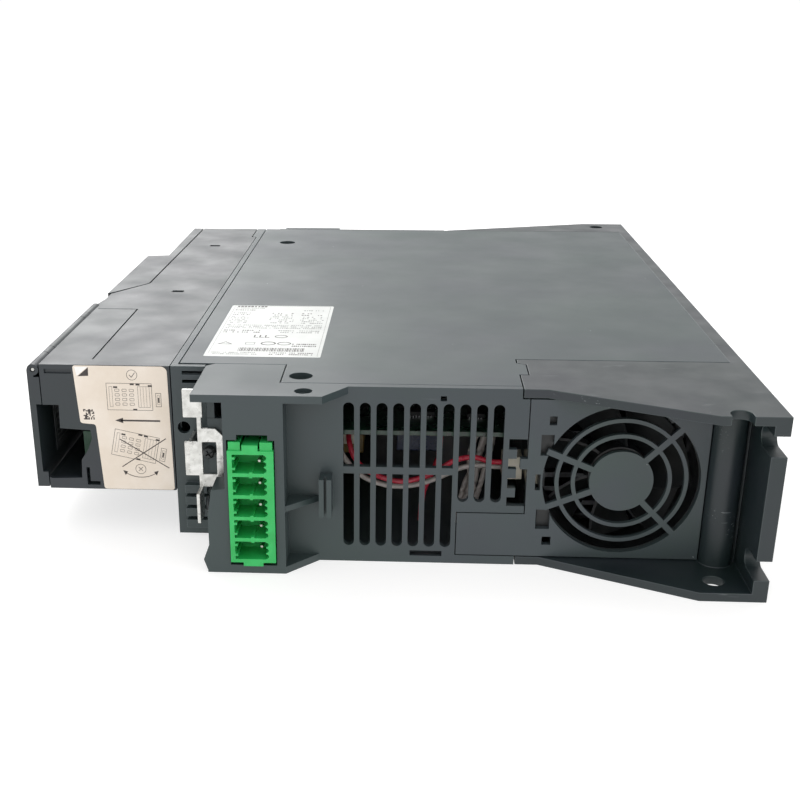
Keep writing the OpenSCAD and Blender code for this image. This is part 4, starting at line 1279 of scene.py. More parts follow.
def joined_mesh(parts: Sequence[Mesh]) -> Mesh:
    """Unite meshes that meet face to face into one closed skin."""
    holders = []
    for part in parts:
        bm = bmesh.new()
        bm.from_mesh(part)
        bmesh.ops.remove_doubles(bm, verts=bm.verts, dist=2e-6)
        mesh = bpy.data.meshes.new("part")
        bm.to_mesh(mesh)
        bm.free()
        holders.append(held(mesh))
    first = holders[0]
    for other in holders[1:]:
        unite = first.modifiers.new("Unite", "BOOLEAN")
        unite.operation = "UNION"
        unite.solver = "EXACT"
        unite.object = other
    mesh = evaluated_mesh(first)
    for other in holders[1:]:
        bpy.data.objects.remove(other)
    return mesh


@dataclass
class MountingFrame:
    """One moulding: mounting plate, four gusset wings and the corner post."""

    edge: float = 0.55
    nodes: tuple[str, ...] = ("mounting_plate", "gusset_wings", "corner_post")

    def build(self) -> None:
        """Unite the three CAD nodes and break the edges."""
        whole = joined_mesh([cad_mesh(n) for n in self.nodes])
        make_piece(broken_edges(whole, self.edge, 3), "mounting_frame_moulding", "chassis",
                   (PAINT, PAINT_EDGE_HIGHLIGHT_SCUFFED), self.nodes)


@dataclass
class PowerHousing:
    """Left and right side panels, both end caps and the case screws."""

    edge: float = 0.28
    screw: ScrewHead = ScrewHead(3.2, 2.6)

    def build(self) -> None:
        """Make the shells and the screws under the panel's holes."""
        for node in ("power_tray", "side_panel", "bottom_end_cap", "top_end_cap"):
            MouldedNode(node, Slot.HOUSING, SLATE, SLATE_EDGE_HIGHLIGHT, self.edge).build()
        self._seam_painted_shade()
        self._case_screws()
        self._panel_marks()

    def _seam_painted_shade(self) -> None:
        """Dark strip under the joint round the right side panel: painted shade at the bottom of the groove."""
        shape = Shape()
        level = box_mm("side_panel")[1].z - 1.1
        for start, end in (((-69.9, -114.9), (-69.9, 115.6)), ((-69.9, -115.0), (-34.0, -115.0))):
            shape.block((start[0] - 0.42, start[1] - 0.3, level - 0.4), (end[0] - 0.1, end[1] + 0.02, level), 0.0)
        shape.piece("panel_seam_backing", "chassis", Slot.HOUSING, (DARK,))

    def _case_screws(self) -> None:
        """Heads and shanks of the two deep screws."""
        low, high = box_mm("case_screws")
        seat = high.z - self.screw.height
        spots = [(low.x + self.screw.radius, high.y - self.screw.radius, seat),
                 (high.x - self.screw.radius, low.y + self.screw.radius, seat)]
        shape = Shape()
        shape.take(repeated(self.screw.master(SCREW), spots, (0, 0, 0), SCREW, spin=3.0, seed=4))
        for spot in spots:
            shape.lathe([(0, low.z - seat), (1.5, low.z - seat), (1.7, low.z - seat + 0.3), (1.7, 0), (0, 0)],
                        spot, (0, 0, 1), 20)
        shape.piece("case_screw_pair", "chassis", Slot.SCREW, (SCREW,), ("case_screws",))

    def _panel_marks(self) -> None:
        """Two small moulding marks and a stop nib on the right side panel."""
        top = box_mm("side_panel")[1].z
        shape = Shape()
        for x, y in ((115.0, -19.9), (115.4, -68.0)):
            shape.block((x - 0.9, y - 0.35, top - 0.14), (x + 0.9, y + 0.35, top - 0.02), 0.04)
        shape.block((-59.8, 86.4, top - 0.12), (-59.2, 90.6, top - 0.02), 0.03)
        shape.piece("panel_marks", "chassis", Slot.HOUSING, (DARK,))


@dataclass
class PlugConnectors:
    """Green pluggable connectors at both ends, with their pins and boards."""

    edge: float = 0.16

    def build(self) -> None:
        """Make the shells, the pins with tapered tips and the drilled boards."""
        for node in ("motor_header", "mains_header"):
            MouldedNode(node, Slot.GREEN, SIGNAL, SIGNAL_EDGE_HIGHLIGHT, self.edge, 2).build()
        MouldedNode("connector_pins", Slot.CONTACT, TIN, TIN, 0.32, 2, "connector_pin_set").build()
        MouldedNode("connector_boards", Slot.BOARD, SHADED_RESIST, SHADED_LAMINATE, 0.12, 1, "connector_board_pair").build()


@dataclass
class EarthClamp:
    """Pressed earth bracket and its two captive screws."""

    edge: float = 0.28

    def build(self) -> None:
        """Make the plated bracket and the screws with washers."""
        MouldedNode("grounding_bracket", Slot.BRACKET, ZINC, ZINC, self.edge, 2, "earth_bracket").build()
        low, high = box_mm("bracket_screws")
        shape = Shape()
        front = ScrewHead(2.0, 1.9)
        spot = (-57.7, high.y - 1.1, 37.5)
        shape.take(repeated(front.master(SCREW), [spot], (90, 0, 0), SCREW, 0.6, 3), 0)
        shape.lathe([(0.9, 0), (2.0, 0), (2.0, 1.1), (0.9, 1.1)], (spot[0], high.y, spot[2]), (0, -1, 0), 24, 0)
        side = ScrewHead(2.6, 2.1)
        spot = (low.x + 0.9 + 1.6, -139.5, 20.5)
        shape.take(repeated(side.master(SCREW), [spot], (0, 90, 0), SCREW, 0.6, 5), 0)
        shape.lathe([(0, 0), (2.4, 0), (2.6, 0.3), (2.6, 0.9), (0, 0.9)], (spot[0] - 0.9, spot[1], spot[2]),
                    (1, 0, 0), 24, 0)
        shape.piece("bracket_screw_pair", "chassis", Slot.SCREW, (SCREW,), ("bracket_screws",))


@dataclass
class Nameplate:
    """Printed polyester label, with bars and blocks in place of any text."""

    thickness: float = 0.13
    corner: float = 1.2

    def build(self) -> None:
        """Make the label and its print."""
        low, high = box_mm("nameplate")
        top = low.z + self.thickness
        outline = rounded_outline([(low.x, low.y), (high.x, low.y), (high.x, high.y), (low.x, high.y)], self.corner)
        shape = Shape().prism(outline, Axis.Z, low.z, top)
        ink = Print(shape, (low.x, high.y, top), (1, 0, 0), (0, -1, 0))
        wide, tall = high.x - low.x, high.y - low.y
        self._text(ink, wide, tall)
        self._marks(ink, wide, tall)
        shape.piece("nameplate_label", "chassis", Slot.LABEL, (LABEL, PALE_INK, INK), ("nameplate",))

    def _text(self, ink: Print, wide: float, tall: float) -> None:
        """Rows of small print: a heading, a table of ratings and closing lines."""
        left, right = 0.05 * wide, 0.94 * wide
        ink.rows((left, 0.026 * tall), 0.30 * wide, 9, 1.9, INK, 2, gaps=0.1, seed=3)
        ink.rows((left, 0.062 * tall), 0.30 * wide, 16, 0.8, PALE_INK, 1, gaps=0.1, seed=4)
        ink.rows((left, 0.105 * tall), 0.20 * wide, 9, 1.1, INK, 2, seed=5)
        ink.rows((0.72 * wide, 0.105 * tall), 0.22 * wide, 10, 1.0, PALE_INK, 1, seed=6)
        for number, (start, span) in enumerate(((left, 0.17), (0.42 * wide, 0.24), (0.71 * wide, 0.23))):
            ink.rows((start, 0.17 * tall), span * wide, 9, 0.9, INK, 2, 2, 2.6, 0.45, 11 + number)
            ink.rows((start, 0.245 * tall), span * wide, 11, 0.9, PALE_INK, 1, 5, 2.3, 0.4, 21 + number)
        ink.rows((left, 0.42 * tall), right - left, 46, 0.85, PALE_INK, 1, 3, 2.1, 0.16, 31)
        ink.rows((left, 0.525 * tall), 0.34 * wide, 16, 1.1, INK, 2, 2, 2.6, 0.25, 32)
        ink.rows((0.55 * wide, 0.525 * tall), 0.38 * wide, 18, 0.9, PALE_INK, 1, 2, 2.4, 0.2, 33)
        ink.rows((0.72 * wide, 0.775 * tall), 0.22 * wide, 12, 1.2, INK, 2, 2, 2.5, 0.1, 34)
        ink.rows((left, 0.93 * tall), 0.4 * wide, 24, 0.8, PALE_INK, 1, 2, 2.0, 0.15, 35)
        ink.rows((0.55 * wide, 0.93 * tall), 0.38 * wide, 20, 0.8, INK, 2, 2, 2.0, 0.2, 36)

    def _marks(self, ink: Print, wide: float, tall: float) -> None:
        """Bar block, plain ovals, a box and a triangle."""
        bars = 44
        step = 0.58 * wide / bars
        for k in range(bars):
            width = step * (0.28 + 0.42 * ((k * 7) % 5) / 4)
            x = 0.27 * wide + k * step
            ink.area(x, 0.845 * tall, x + width, 0.905 * tall, 2)
        ink.ring((0.60 * wide, 0.635 * tall), 2.2, 0.35, 2, 0.75)
        ink.ring((0.51 * wide, 0.765 * tall), 2.5, 0.5, 2, 0.8)
        ink.ring((0.65 * wide, 0.765 * tall), 2.3, 0.4, 2, 0.8)
        for k in range(3):
            x = (0.36 + 0.05 * k) * wide
            ink.stroke([(x, 0.615 * tall), (x, 0.655 * tall), (x + 1.3, 0.655 * tall)], 0.5, 2)
        ink.stroke([(0.07 * wide, 0.785 * tall), (0.13 * wide, 0.745 * tall), (0.19 * wide, 0.785 * tall)], 0.35, 2, True)
        ink.stroke([(0.31 * wide, 0.75 * tall), (0.39 * wide, 0.75 * tall), (0.39 * wide, 0.785 * tall),
                    (0.31 * wide, 0.785 * tall)], 0.25, 1, True)
        ink.stroke([(0.03 * wide, 0.94 * tall), (0.03 * wide, 0.012 * tall), (0.97 * wide, 0.012 * tall),
                    (0.97 * wide, 0.98 * tall)], 0.12, 1)


@dataclass
class PullSticker:
    """Sticker on the control block: pull straight, as an arrow and a cross show."""

    thickness: float = 0.16
    corner: float = 1.0
    line: float = 0.13

    def build(self) -> None:
        """Make the sticker and its drawings."""
        low, high = box_mm("pull_sticker")
        outline = [(low.x, high.z), (high.x - 1.7, high.z), (high.x - 0.4, high.z - 1.2), (high.x, low.z),
                   (low.x + 7.8, low.z), (low.x + 6.5, 40.7), (low.x + 1.2, 41.1)]
        face = high.y - self.thickness
        shape = Shape().prism(rounded_outline(outline, self.corner), Axis.Y, face, high.y)
        ink = Print(shape, (low.x, face, high.z), (1, 0, 0), (0, 0, -1))
        self._drive(ink, (11.2, 6.1), 0.0)
        self._drive(ink, (13.2, 22.6), 12.0)
        self._signs(ink)
        self._corner_marks(ink)
        shape.piece("pull_sticker_sheet", "control_block", Slot.STICKER, (STICKER, INK, PAPER_WHITE),
                    ("pull_sticker",))

    def _drive(self, ink: Print, start: Point, tilt: float) -> None:
        """Outline drawing of a block with windows and a plug beside it."""
        a = math.radians(tilt)

        def put(u: float, v: float) -> tuple[float, float]:
            """A point of the drawing after its tilt."""
            return (start[0] + u * math.cos(a) - v * math.sin(a), start[1] + u * math.sin(a) + v * math.cos(a))

        def frame_line(left: float, top: float, right: float, bottom: float, width: float) -> None:
            """One rectangle of the drawing."""
            ink.stroke([put(left, top), put(right, top), put(right, bottom), put(left, bottom)], width, 1, True)

        frame_line(0.0, 0.0, 15.6, 9.6, self.line)
        frame_line(0.9, 1.2, 1.9, 8.4, self.line * 0.6)
        frame_line(10.8, 1.1, 14.8, 8.5, self.line * 0.7)
        for k in range(3):
            ink.stroke([put(11.7 + k, 1.2), put(11.7 + k, 8.4)], self.line * 0.5, 1)
        for column in range(3):
            ink.windows(put(3.6 + 2.5 * column, 2.5), 1, 4, (2.5, 1.65), (1.5, 0.85), self.line * 0.7, INK, 1, tilt)
        for u, v in ((8.2, 0.0), (10.2, 0.1), (2.4, 1.1), (14.4, 0.5), (8.8, 9.1)):
            corner = [put(u, v), put(u + 1.4, v), put(u + 1.4, v + 0.6), put(u, v + 0.6)]
            ink.fill(corner, 1)
        frame_line(16.9, 3.4, 18.7, 8.2, self.line)
        frame_line(17.4, 4.2, 18.3, 7.4, self.line * 0.6)
        ink.fill([put(17.6, 5.0), put(18.1, 5.0), put(18.1, 6.8), put(17.6, 6.8)], 1)

    def _signs(self, ink: Print) -> None:
        """Tick, arrow, cross and the curved double arrow."""
        ink.ring((20.3, 3.1), 1.8, self.line * 1.1, 1)
        ink.stroke([(19.4, 3.1), (20.1, 3.9), (21.3, 2.3)], self.line * 1.6, 1)
        ink.stroke([(15.6, 19.5), (28.9, 19.5)], 0.6, 1)
        ink.fill([(13.4, 19.5), (16.2, 18.5), (16.2, 20.5)], 1)
        ink.stroke([(14.6, 26.4), (31.2, 36.8)], 0.32, 1)
        ink.stroke([(14.8, 36.6), (30.6, 26.0)], 0.32, 1)
        ink.ring((21.2, 37.4), 1.8, self.line * 1.1, 1)
        ink.stroke([(20.5, 36.7), (21.9, 38.1)], self.line * 1.4, 1)
        ink.stroke([(20.5, 38.1), (21.9, 36.7)], self.line * 1.4, 1)
        sweep = arc((21.2, 30.9), 9.6, 56, 124, 12)
        ink.stroke(sweep, 0.22, 1)
        for end, way in ((sweep[0], 1.0), (sweep[-1], -1.0)):
            ink.fill([(end[0] + 0.9 * way, end[1] - 0.9), (end[0] - 0.75 * way, end[1] - 0.4),
                      (end[0] + 0.15 * way, end[1] + 0.95)], 1)

    def _corner_marks(self, ink: Print) -> None:
        """Peeled white corner and a small block of random squares."""
        ink.fill([(0.7, 0.5), (5.4, 0.4), (1.3, 3.6)], 2)
        ink.fill([(5.4, 0.6), (5.3, 3.6), (1.6, 3.8)], 1)
        cells = 9
        step = 0.42
        state = 5
        for row in range(cells):
            for column in range(cells):
                state = (state * 73 + 41) % 997
                if state % 2:
                    continue
                u, v = 2.5 + column * step, 15.6 + row * step
                ink.area(u, v, u + step, v + step, 1)


@dataclass
class PowerStage:
    """Circuit board with the parts that the vents and covers hide or show."""

    cap_spots: tuple[tuple[float, float], ...] = ((-48.0, 36.0), (-48.0, 66.0), (-19.0, 36.0), (-19.0, 66.0))
    choke_centre: Point = (-46.0, -62.0, 23.0)
    choke_ring: float = 11.0
    choke_section: float = 5.5
    wire: float = 0.45

    def build(self) -> None:
        """Build the board, then each group of parts on it."""
        self._board()
        self._capacitors()
        self._choke()
        self._transformer()
        self._modules()
        self._sockets()

    def _board(self) -> None:
        """Board with surface-mounted parts and solder joints behind the vents."""
        low, high = box_mm("power_board")
        shape = Shape().take(broken_edges(cad_mesh("power_board"), 0.1, 1))
        under, over = low.z, high.z
        for x, y, wide, tall, count, seed in (
            (-8.0, -130.5, 2.0, 1.2, 9, 2), (-6.0, -126.5, 1.2, 2.0, 11, 3), (2.0, -121.5, 3.2, 1.8, 7, 5),
            (-58.0, -104.0, 2.0, 1.2, 10, 6), (-20.0, 88.0, 1.2, 2.0, 12, 8),
        ):
            step = 4.1
            row = block_row((x, y, under - 0.35), (step, 0, 0), count, (wide, tall, 0.8), DARK, 0.25, seed)
            shape.take(row, 2)
            for side in (-1, 1):
                pads = block_row((x + side * wide * 0.5, y, under - 0.2), (step, 0, 0), count, (0.5, tall, 0.46),
                                 SOLDER, 0.1, seed)
                shape.take(pads, 3)
        for x, y in self.cap_spots:
            for side in (-3.75, 3.75):
                shape.lathe([(1.3, 0), (1.1, 0.5), (0.5, 1.1), (0, 1.2)], (x + side, y, over - 0.05), (0, 0, 1), 14, 3)
        for x, y, wide, deep in ((8.0, -118.0, 9.0, 5.0), (28.0, -119.0, 6.0, 6.0), (-44.0, -96.0, 11.0, 8.0)):
            shape.block((x, y, over - 0.05), (x + wide, y + deep, over + 1.5), 0.15, 2)
            legs = block_row((x + 0.8, y - 0.6, over + 0.3), (1.0, 0, 0), int(wide - 1), (0.4, 1.0, 0.5), SOLDER)
            shape.take(legs, 3)
        shape.piece("power_board_assembly", "chassis", Slot.BOARD, (SHADED_RESIST, SHADED_LAMINATE, DARK, SOLDER), ("power_board",))

    def _capacitors(self) -> None:
        """Four sleeved cans with a crimped end and a scored vent."""
        shape = Shape()
        low, high = 5.0, 43.4
        profile = [(0, low + 0.5), (10.6, low + 0.5), (10.8, low + 0.1), (11.9, low), (12.7, low + 0.3), (13, low + 0.9),
                   (13, 38.6), (12.85, 39.1), (12.2, 39.7), (12.1, 40.3), (12.25, 41.0), (12.85, 41.6), (13, 42.0),
                   (12.9, 43.0), (12.4, high), (0, high)]
        for x, y in self.cap_spots:
            shape.lathe(profile, (x, y, 0), (0, 0, 1), 56, 0)
            for angle in (0, 60, 120):
                shape.block((x - 7.5, y - 0.22, low + 0.32), (x + 7.5, y + 0.22, low + 0.56), 0, 1,
                            turn=Matrix.Rotation(math.radians(angle), 4, "Z"))
        shape.piece("dc_link_capacitors", "chassis", Slot.SLEEVE, (SLEEVE, ALUMINIUM), ("dc_capacitors",))

    def _choke(self) -> None:
        """Coated ring core with its winding."""
        x, y, z = self.choke_centre
        inner = self.choke_section - 2 * self.wire
        ring = []
        for k in range(20):
            a = 2 * math.pi * k / 20
            ring.append((self.choke_ring + inner * math.cos(a), inner * math.sin(a)))
        shape = Shape()
        sides = 48
        before = set(shape.bm.faces)
        loops = []
        for s in range(sides):
            b = 2 * math.pi * s / sides
            loops.append([shape.bm.verts.new((x + h, y + r * math.cos(b), z + r * math.sin(b))) for r, h in ring])
        for s in range(sides):
            for k in range(20):
                a, b = loops[s], loops[(s + 1) % sides]
                shape.bm.faces.new((a[k], a[(k + 1) % 20], b[(k + 1) % 20], b[k]))
        shape._face_out(before)
        coil = TREES.grow(TREES.winding, {
            "Centre": metres(self.choke_centre), "Ring": self.choke_ring * MM,
            "Section": (self.choke_section - self.wire) * MM, "Turns": 42.0, "Share": 0.9, "Wire": self.wire * MM,
            "Finish": COPPER.make()})
        shape.take(coil, 1)
        shape.piece("choke_core_and_winding", "chassis", Slot.COPPER, (FERRITE, COPPER), ("filter_choke",))

    def _transformer(self) -> None:
        """Core halves, coil former and taped winding."""
        low, high = box_mm("transformer")
        shape = Shape()
        shape.block((0.0, low.y, 12.0), (26.0, high.y, 19.0), 0.4, 0)
        shape.block((0.0, low.y, 34.0), (26.0, high.y, 41.0), 0.4, 0)
        for x in ((0.0, 4.5), (21.5, 26.0)):
            shape.block((x[0], low.y, 18.9), (x[1], high.y, 34.1), 0.2, 0)
        shape.block((low.x, 101.0, 16.0), (high.x, 117.0, 17.4), 0.2, 1)
        shape.block((low.x, 101.0, 36.6), (high.x, 117.0, 38.0), 0.2, 1)
        shape.block((4.7, 98.5, 19.1), (21.3, 119.5, 33.9), 1.6, 2)
        shape.block((3.0, 97.5, 40.9), (23.0, 120.5, 43.5), 0.3, 1)
        shape.piece("transformer_assembly", "chassis", Slot.DARK, (FERRITE, DARK, FILM), ("transformer",))

    def _modules(self) -> None:
        """Power module, film capacitors and relays with moulded edges."""
        MouldedNode("power_module", Slot.DARK, DARK, BAY_AND_EDGE_HIGHLIGHT, 0.3).build()
        for node, slot, finish, mark in (
            ("film_capacitors", Slot.FILM, FILM, INK), ("relays", Slot.RELAY, RELAY, LEGEND),
        ):
            shape = Shape().take(broken_edges(cad_mesh(node), 0.45, 3), 0)
            low, _ = box_mm(node)
            starts = (-96.0, -20.0) if node == "film_capacitors" else (-98.0, -74.0)
            for start in starts:
                ink = Print(shape, (low.x, start + 18.0, low.z + 15.0), (0, -1, 0), (0, 0, -1))
                ink.rows((2.0, 2.5), 12.0, 9, 1.3, mark, 1, 3, 2.6, 0.15, int(start) + 120)
            shape.piece(f"{node}_printed", "chassis", slot, (finish, mark), (node,))

    def _sockets(self) -> None:
        """Board plug, fan socket and the socket for the control block."""
        for node in ("board_plug", "fan_socket"):
            low, high = box_mm(node)
            shape = Shape().block(low, high, 0.3, 0)
            ribs = block_row((low.x + 1.2, low.y + 0.06, (low.z + high.z) / 2), ((high.x - low.x - 2.4) / 3, 0, 0), 4,
                             (0.5, 0.3, (high.z - low.z) * 0.8), CREAM)
            shape.take(ribs, 0)
            shape.piece(f"{node}_shell", "chassis", Slot.CREAM, (CREAM,), (node,))
        MouldedNode("power_socket", Slot.DARK, DARK, BAY_AND_EDGE_HIGHLIGHT, 0.2).build()
        contacts = Shape()
        contacts.take(block_row((-63.4, 20.0, 28.85), (0, 5.0, 0), 9, (1.0, 1.4, 0.42), GOLD), 0)
        contacts.piece("power_socket_contacts", "chassis", Slot.CONTACT, (GOLD,))


@dataclass
class AirChannel:
    """Finned heat sink in the rear channel."""

    def build(self) -> None:
        """Break the fins' edges."""
        MouldedNode("heat_sink", Slot.SINK, ALUMINIUM, ALUMINIUM, 0.18, 2, "heat_sink_extrusion").build()


@dataclass
class FanLeads:
    """Leads behind the vent: red and grey to the fan, and a bundle to the board."""

    radius: float = 0.9
    red: tuple[Point, ...] = (
        (-12, -122.1, 39.5), (-12, -124, 39.5), (-11.5, -126, 37.5), (-10, -128.5, 34), (-6, -130, 30),
        (0, -131, 27.5), (6, -131.5, 26.5), (12, -131, 27.5), (18, -130, 30), (24, -128, 33), (30, -127, 34),
        (35, -126.3, 32.5), (37.5, -126, 32), (39.9, -126, 32))
    grey: tuple[Point, ...] = (
        (-16, -122.1, 39.5), (-16, -124, 39.5), (-15, -126.5, 37), (-13, -128, 33), (-8, -129.5, 28),
        (-1, -129, 24.5), (6, -128.5, 23.5), (13, -128, 24.5), (20, -127, 27), (27, -125, 29.5), (34, -124, 30),
        (37.5, -124, 29.6), (39.9, -124, 29.6))
    bundle_foot: Point = (25.0, -117.5, 6.0)
    bundle_head: Point = (34.0, -116.5, 43.2)

    def build(self) -> None:
        """Sweep the two leads and the bundle."""
        for name, route, finish, slot in (
            ("fan_lead_red", self.red, RED, Slot.RED_LEAD), ("fan_lead_grey", self.grey, GREY, Slot.GREY_LEAD),
        ):
            shape = Shape().line(smooth_path(route, 5), self.radius, 16, 0)
            shape.piece(f"{name}_tube", "chassis", slot, (finish,), (name,))
        foot, head = Vector(self.bundle_foot), Vector(self.bundle_head)
        shape = Shape()
        for number, (dx, dy) in enumerate(((0, 0), (2.1, 0.5), (4.3, -0.2), (1.1, 2.0), (3.2, 2.1))):
            offset = Vector((dx, dy, 0))
            bow = Vector((1.5 - number, -0.8, 0))
            path = smooth_path([foot + offset, foot + (head - foot) * 0.35 + offset * 1.3 + bow,
                                foot + (head - foot) * 0.7 + offset - bow, head + offset * 0.9], 6)
            shape.line(path, 0.95, 14, 0)
        shape.piece("inner_bundle_grey", "chassis", Slot.GREY_LEAD, (GREY,))
        lone = Shape().line(smooth_path([(13.0, -117.0, 6.0), (14.0, -118.5, 18.0), (18.5, -119.0, 30.0),
                                         (19.5, -117.0, 43.2)], 7), 1.0, 14, 0)
        lone.piece("inner_lead_red", "chassis", Slot.RED_LEAD, (RED,))


@dataclass
class FanCartridge:
    """Pull-out fan: cover with guard, frame, rotor, screws and plug."""

    axis: tuple[float, float] = (78.0, 31.0)
    hub: float = 10.4
    near: float = -134.5
    depth: float = 14.0
    blades: int = 7
    hole_gap: float = 22.6

    def build(self) -> None:
        """Build the cartridge and its rotor."""
        MouldedNode("fan_cover", Slot.HOUSING, COVER, SLATE_EDGE_HIGHLIGHT, 0.22).build()
        self._frame()
        self._rotor()
        self._screws()

    def _frame(self) -> None:
        """Square frame and its plug."""
        MouldedNode("fan_frame", Slot.DARK, DARK, BAY_AND_EDGE_HIGHLIGHT, 0.25).build()
        low, high = box_mm("fan_plug")
        shape = Shape().block(low, high, 0.25, 0)
        shape.take(block_row((low.x + 1.9, low.y + 1.6, high.z + 0.01), (0, 2.9, 0), 4, (2.0, 1.4, 0.2), CREAM), 0)
        shape.piece("fan_plug_shell", "fan_cartridge", Slot.CREAM, (CREAM,), ("fan_plug",))

    def _rotor(self) -> None:
        """Hub with a rounded rim and a label dimple, shaft, and curved blades."""
        x, z = self.axis
        r, deep = self.hub, self.depth
        shape = Shape()
        shape.lathe([(0, 0.25), (r * 0.62, 0.25), (r * 0.66, 0), (r - 0.9, 0), (r - 0.25, 0.3), (r, 0.95),
                     (r, deep), (1.5, deep), (1.5, 17.6), (0, 17.6)], (x, self.near, z), (0, 1, 0), 56, 0)
        mesh = TREES.grow(TREES.blades, {
            "Centre": metres((x, self.near + deep / 2, z)), "Root": (r - 0.8) * MM, "Tip": 24.0 * MM,
            "Depth": 11.6 * MM, "Sweep": 0.78, "Camber": 1.5 * MM, "Thickness": 0.95 * MM, "Blades": self.blades,
            "Finish": DARK.make()})
        shape.take(mesh, 0)
        shape.piece("fan_rotor_moulding", "rotor", Slot.DARK, (DARK,), ("fan_rotor",))

    def _screws(self) -> None:
        """Four screws behind the frame."""
        x, z = self.axis
        low, high = box_mm("fan_screws")
        head = ScrewHead(2.6, high.y - low.y)
        spots = [(x + i * self.hole_gap, low.y, z + k * self.hole_gap) for i in (-1, 1) for k in (-1, 1)]
        mesh = repeated(head.master(BRIGHT_SCREW), spots, (-90, 0, 0), BRIGHT_SCREW, 3.0, 9)
        Shape().take(mesh, 0).piece("fan_screw_set", "fan_cartridge", Slot.CONTACT, (BRIGHT_SCREW,), ("fan_screws",))


@dataclass
class ControlBlock:
    """Housing, front cover, hinged door, liner, pin and the boards inside."""

    edge: float = 0.3

    def build(self) -> None:
        """Build the block and what it carries."""
        MouldedNode("control_housing", Slot.HOUSING, CONTROL, SLATE_EDGE_HIGHLIGHT, self.edge).build()
        MouldedNode("front_cover", Slot.HOUSING, CONTROL, SLATE_EDGE_HIGHLIGHT, 0.35, 3).build()
        self._door()
        self._liner()
        self._boards()

    def _door(self) -> None:
        """Door shell with a printed leaf on its inner face."""
        MouldedNode("front_door", Slot.HOUSING, CONTROL, SLATE_EDGE_HIGHLIGHT, 0.25).build()
        shape = Shape().block((-120.3, -101.0, 24.0), (-120.16, -60.0, 46.0), 0.03, 0)
        for row in range(9):
            z = 43.6 - 2.1 * row
            mesh = block_row((-120.13, -98.0, z), (0, 2.2, 0), 16, (0.06, 1.6, 0.5), INK, 0.0, row)
            shape.take(mesh, 1)
        shape.piece("door_wiring_card", "door", Slot.HOUSING, (GREY_LEAF, PALE_INK))

    def _liner(self) -> None:
        """Tray round the terminals, and the pin of the hinge."""
        MouldedNode("bay_liner", Slot.HOUSING, BAY_AND_EDGE_HIGHLIGHT, SLATE_EDGE_HIGHLIGHT, 0.25).build()
        lip = Shape().block((-119.95, -117.2, 16.95), (-117.9, -42.0, 18.7), 0.2)
        lip.piece("bay_lip", "control_block", Slot.HOUSING, (BAY_AND_EDGE_HIGHLIGHT,))
        low, high = box_mm("hinge_pin")
        r = (high.x - low.x) / 2
        length = high.y - low.y
        shape = Shape().lathe([(0, 0), (r * 0.7, 0), (r, 0.4), (r, length - 0.4), (r * 0.7, length), (0, length)],
                              (low.x + r, low.y, low.z + r), (0, 1, 0), 24, 0)
        shape.piece("hinge_pin_turned", "control_block", Slot.CONTACT, (BRIGHT_SCREW,), ("hinge_pin",))

    def _boards(self) -> None:
        """Control board with chips and legs, and the rear plug."""
        shape = Shape().take(broken_edges(cad_mesh("control_board"), 0.1, 1))
        shape.piece("control_board_laminate", "control_block", Slot.BOARD, (SHADED_RESIST, SHADED_LAMINATE), ("control_board",))
        chips = Shape()
        for x, y, side in ((-84, -80, 10), (-84, -40, 7), (-85, 84, 12), (-84, 108, 7), (-84, -100, 5)):
            half = side / 2
            chips.block((x - half, y - half, 31.75), (x + half, y + half, 33.3), 0.15, 0)
            legs = int(side / 1.0)
            for way in (-1, 1):
                chips.take(block_row((x - half + 0.5, y + way * (half + 0.35), 31.85), (1.0, 0, 0), legs,
                                     (0.42, 0.9, 0.3), SOLDER), 1)
        chips.piece("control_chip_set", "control_block", Slot.DARK, (DARK, SOLDER), ("control_chips",))
        MouldedNode("control_plug", Slot.DARK, DARK, BAY_AND_EDGE_HIGHLIGHT, 0.2).build()


@dataclass
class TerminalBay:
    """Screw terminals, network port and the small slide switch."""

    pitch: float = 5.08
    first: float = -107.0
    rows: tuple[tuple[float, int], ...] = ((19.9, 11), (37.9, 8))

    def build(self) -> None:
        """Build the terminals, the screws, the port and the switch."""
        for node in ("io_terminal_front", "io_terminal_rear"):
            MouldedNode(node, Slot.TERMINAL, TERMINAL, TERMINAL, 0.16).build()
        self._screws()
        self._port()
        self._switch()

    def _screws(self) -> None:
        """Slotted clamp screws down in their holes."""
        spots = [(-102.0, self.first + (i + 0.5) * self.pitch, level + 10.2)
                 for level, ways in self.rows for i in range(ways)]
        head = ScrewHead(1.65, 2.5, ScrewDrive.SLOT)
        mesh = repeated(head.master(BRIGHT_SCREW), spots, (0, -90, 0), BRIGHT_SCREW, 3.1, 12)
        Shape().take(mesh, 0).piece("terminal_screw_set", "control_block", Slot.CONTACT, (BRIGHT_SCREW,),
                                    ("terminal_screws",))

    def _port(self) -> None:
        """Shielded port with its gilt contacts."""
        MouldedNode("network_port", Slot.CONTACT, TIN, TIN, 0.2).build()
        shape = Shape()
        shape.take(block_row((-101.5, -56.4, 51.2), (0, 1.02, 0), 8, (6.0, 0.5, 0.35), GOLD), 0)
        shape.piece("network_port_contacts", "control_block", Slot.CONTACT, (GOLD,))

    def _switch(self) -> None:
        """Switch body and its ridged slider."""
        MouldedNode("logic_switch", Slot.DARK, DARK, BAY_AND_EDGE_HIGHLIGHT, 0.2).build()
        low, high = box_mm("logic_slider")
        shape = Shape().block(low, high, 0.2, 0)
        shape.take(block_row((low.x, low.y + 0.5, (low.z + high.z) / 2), (0, 0.62, 0), 4, (0.24, 0.26, 2.6), CREAM), 0)
        shape.piece("logic_slider_cap", "slider", Slot.CREAM, (CREAM,), ("logic_slider",))


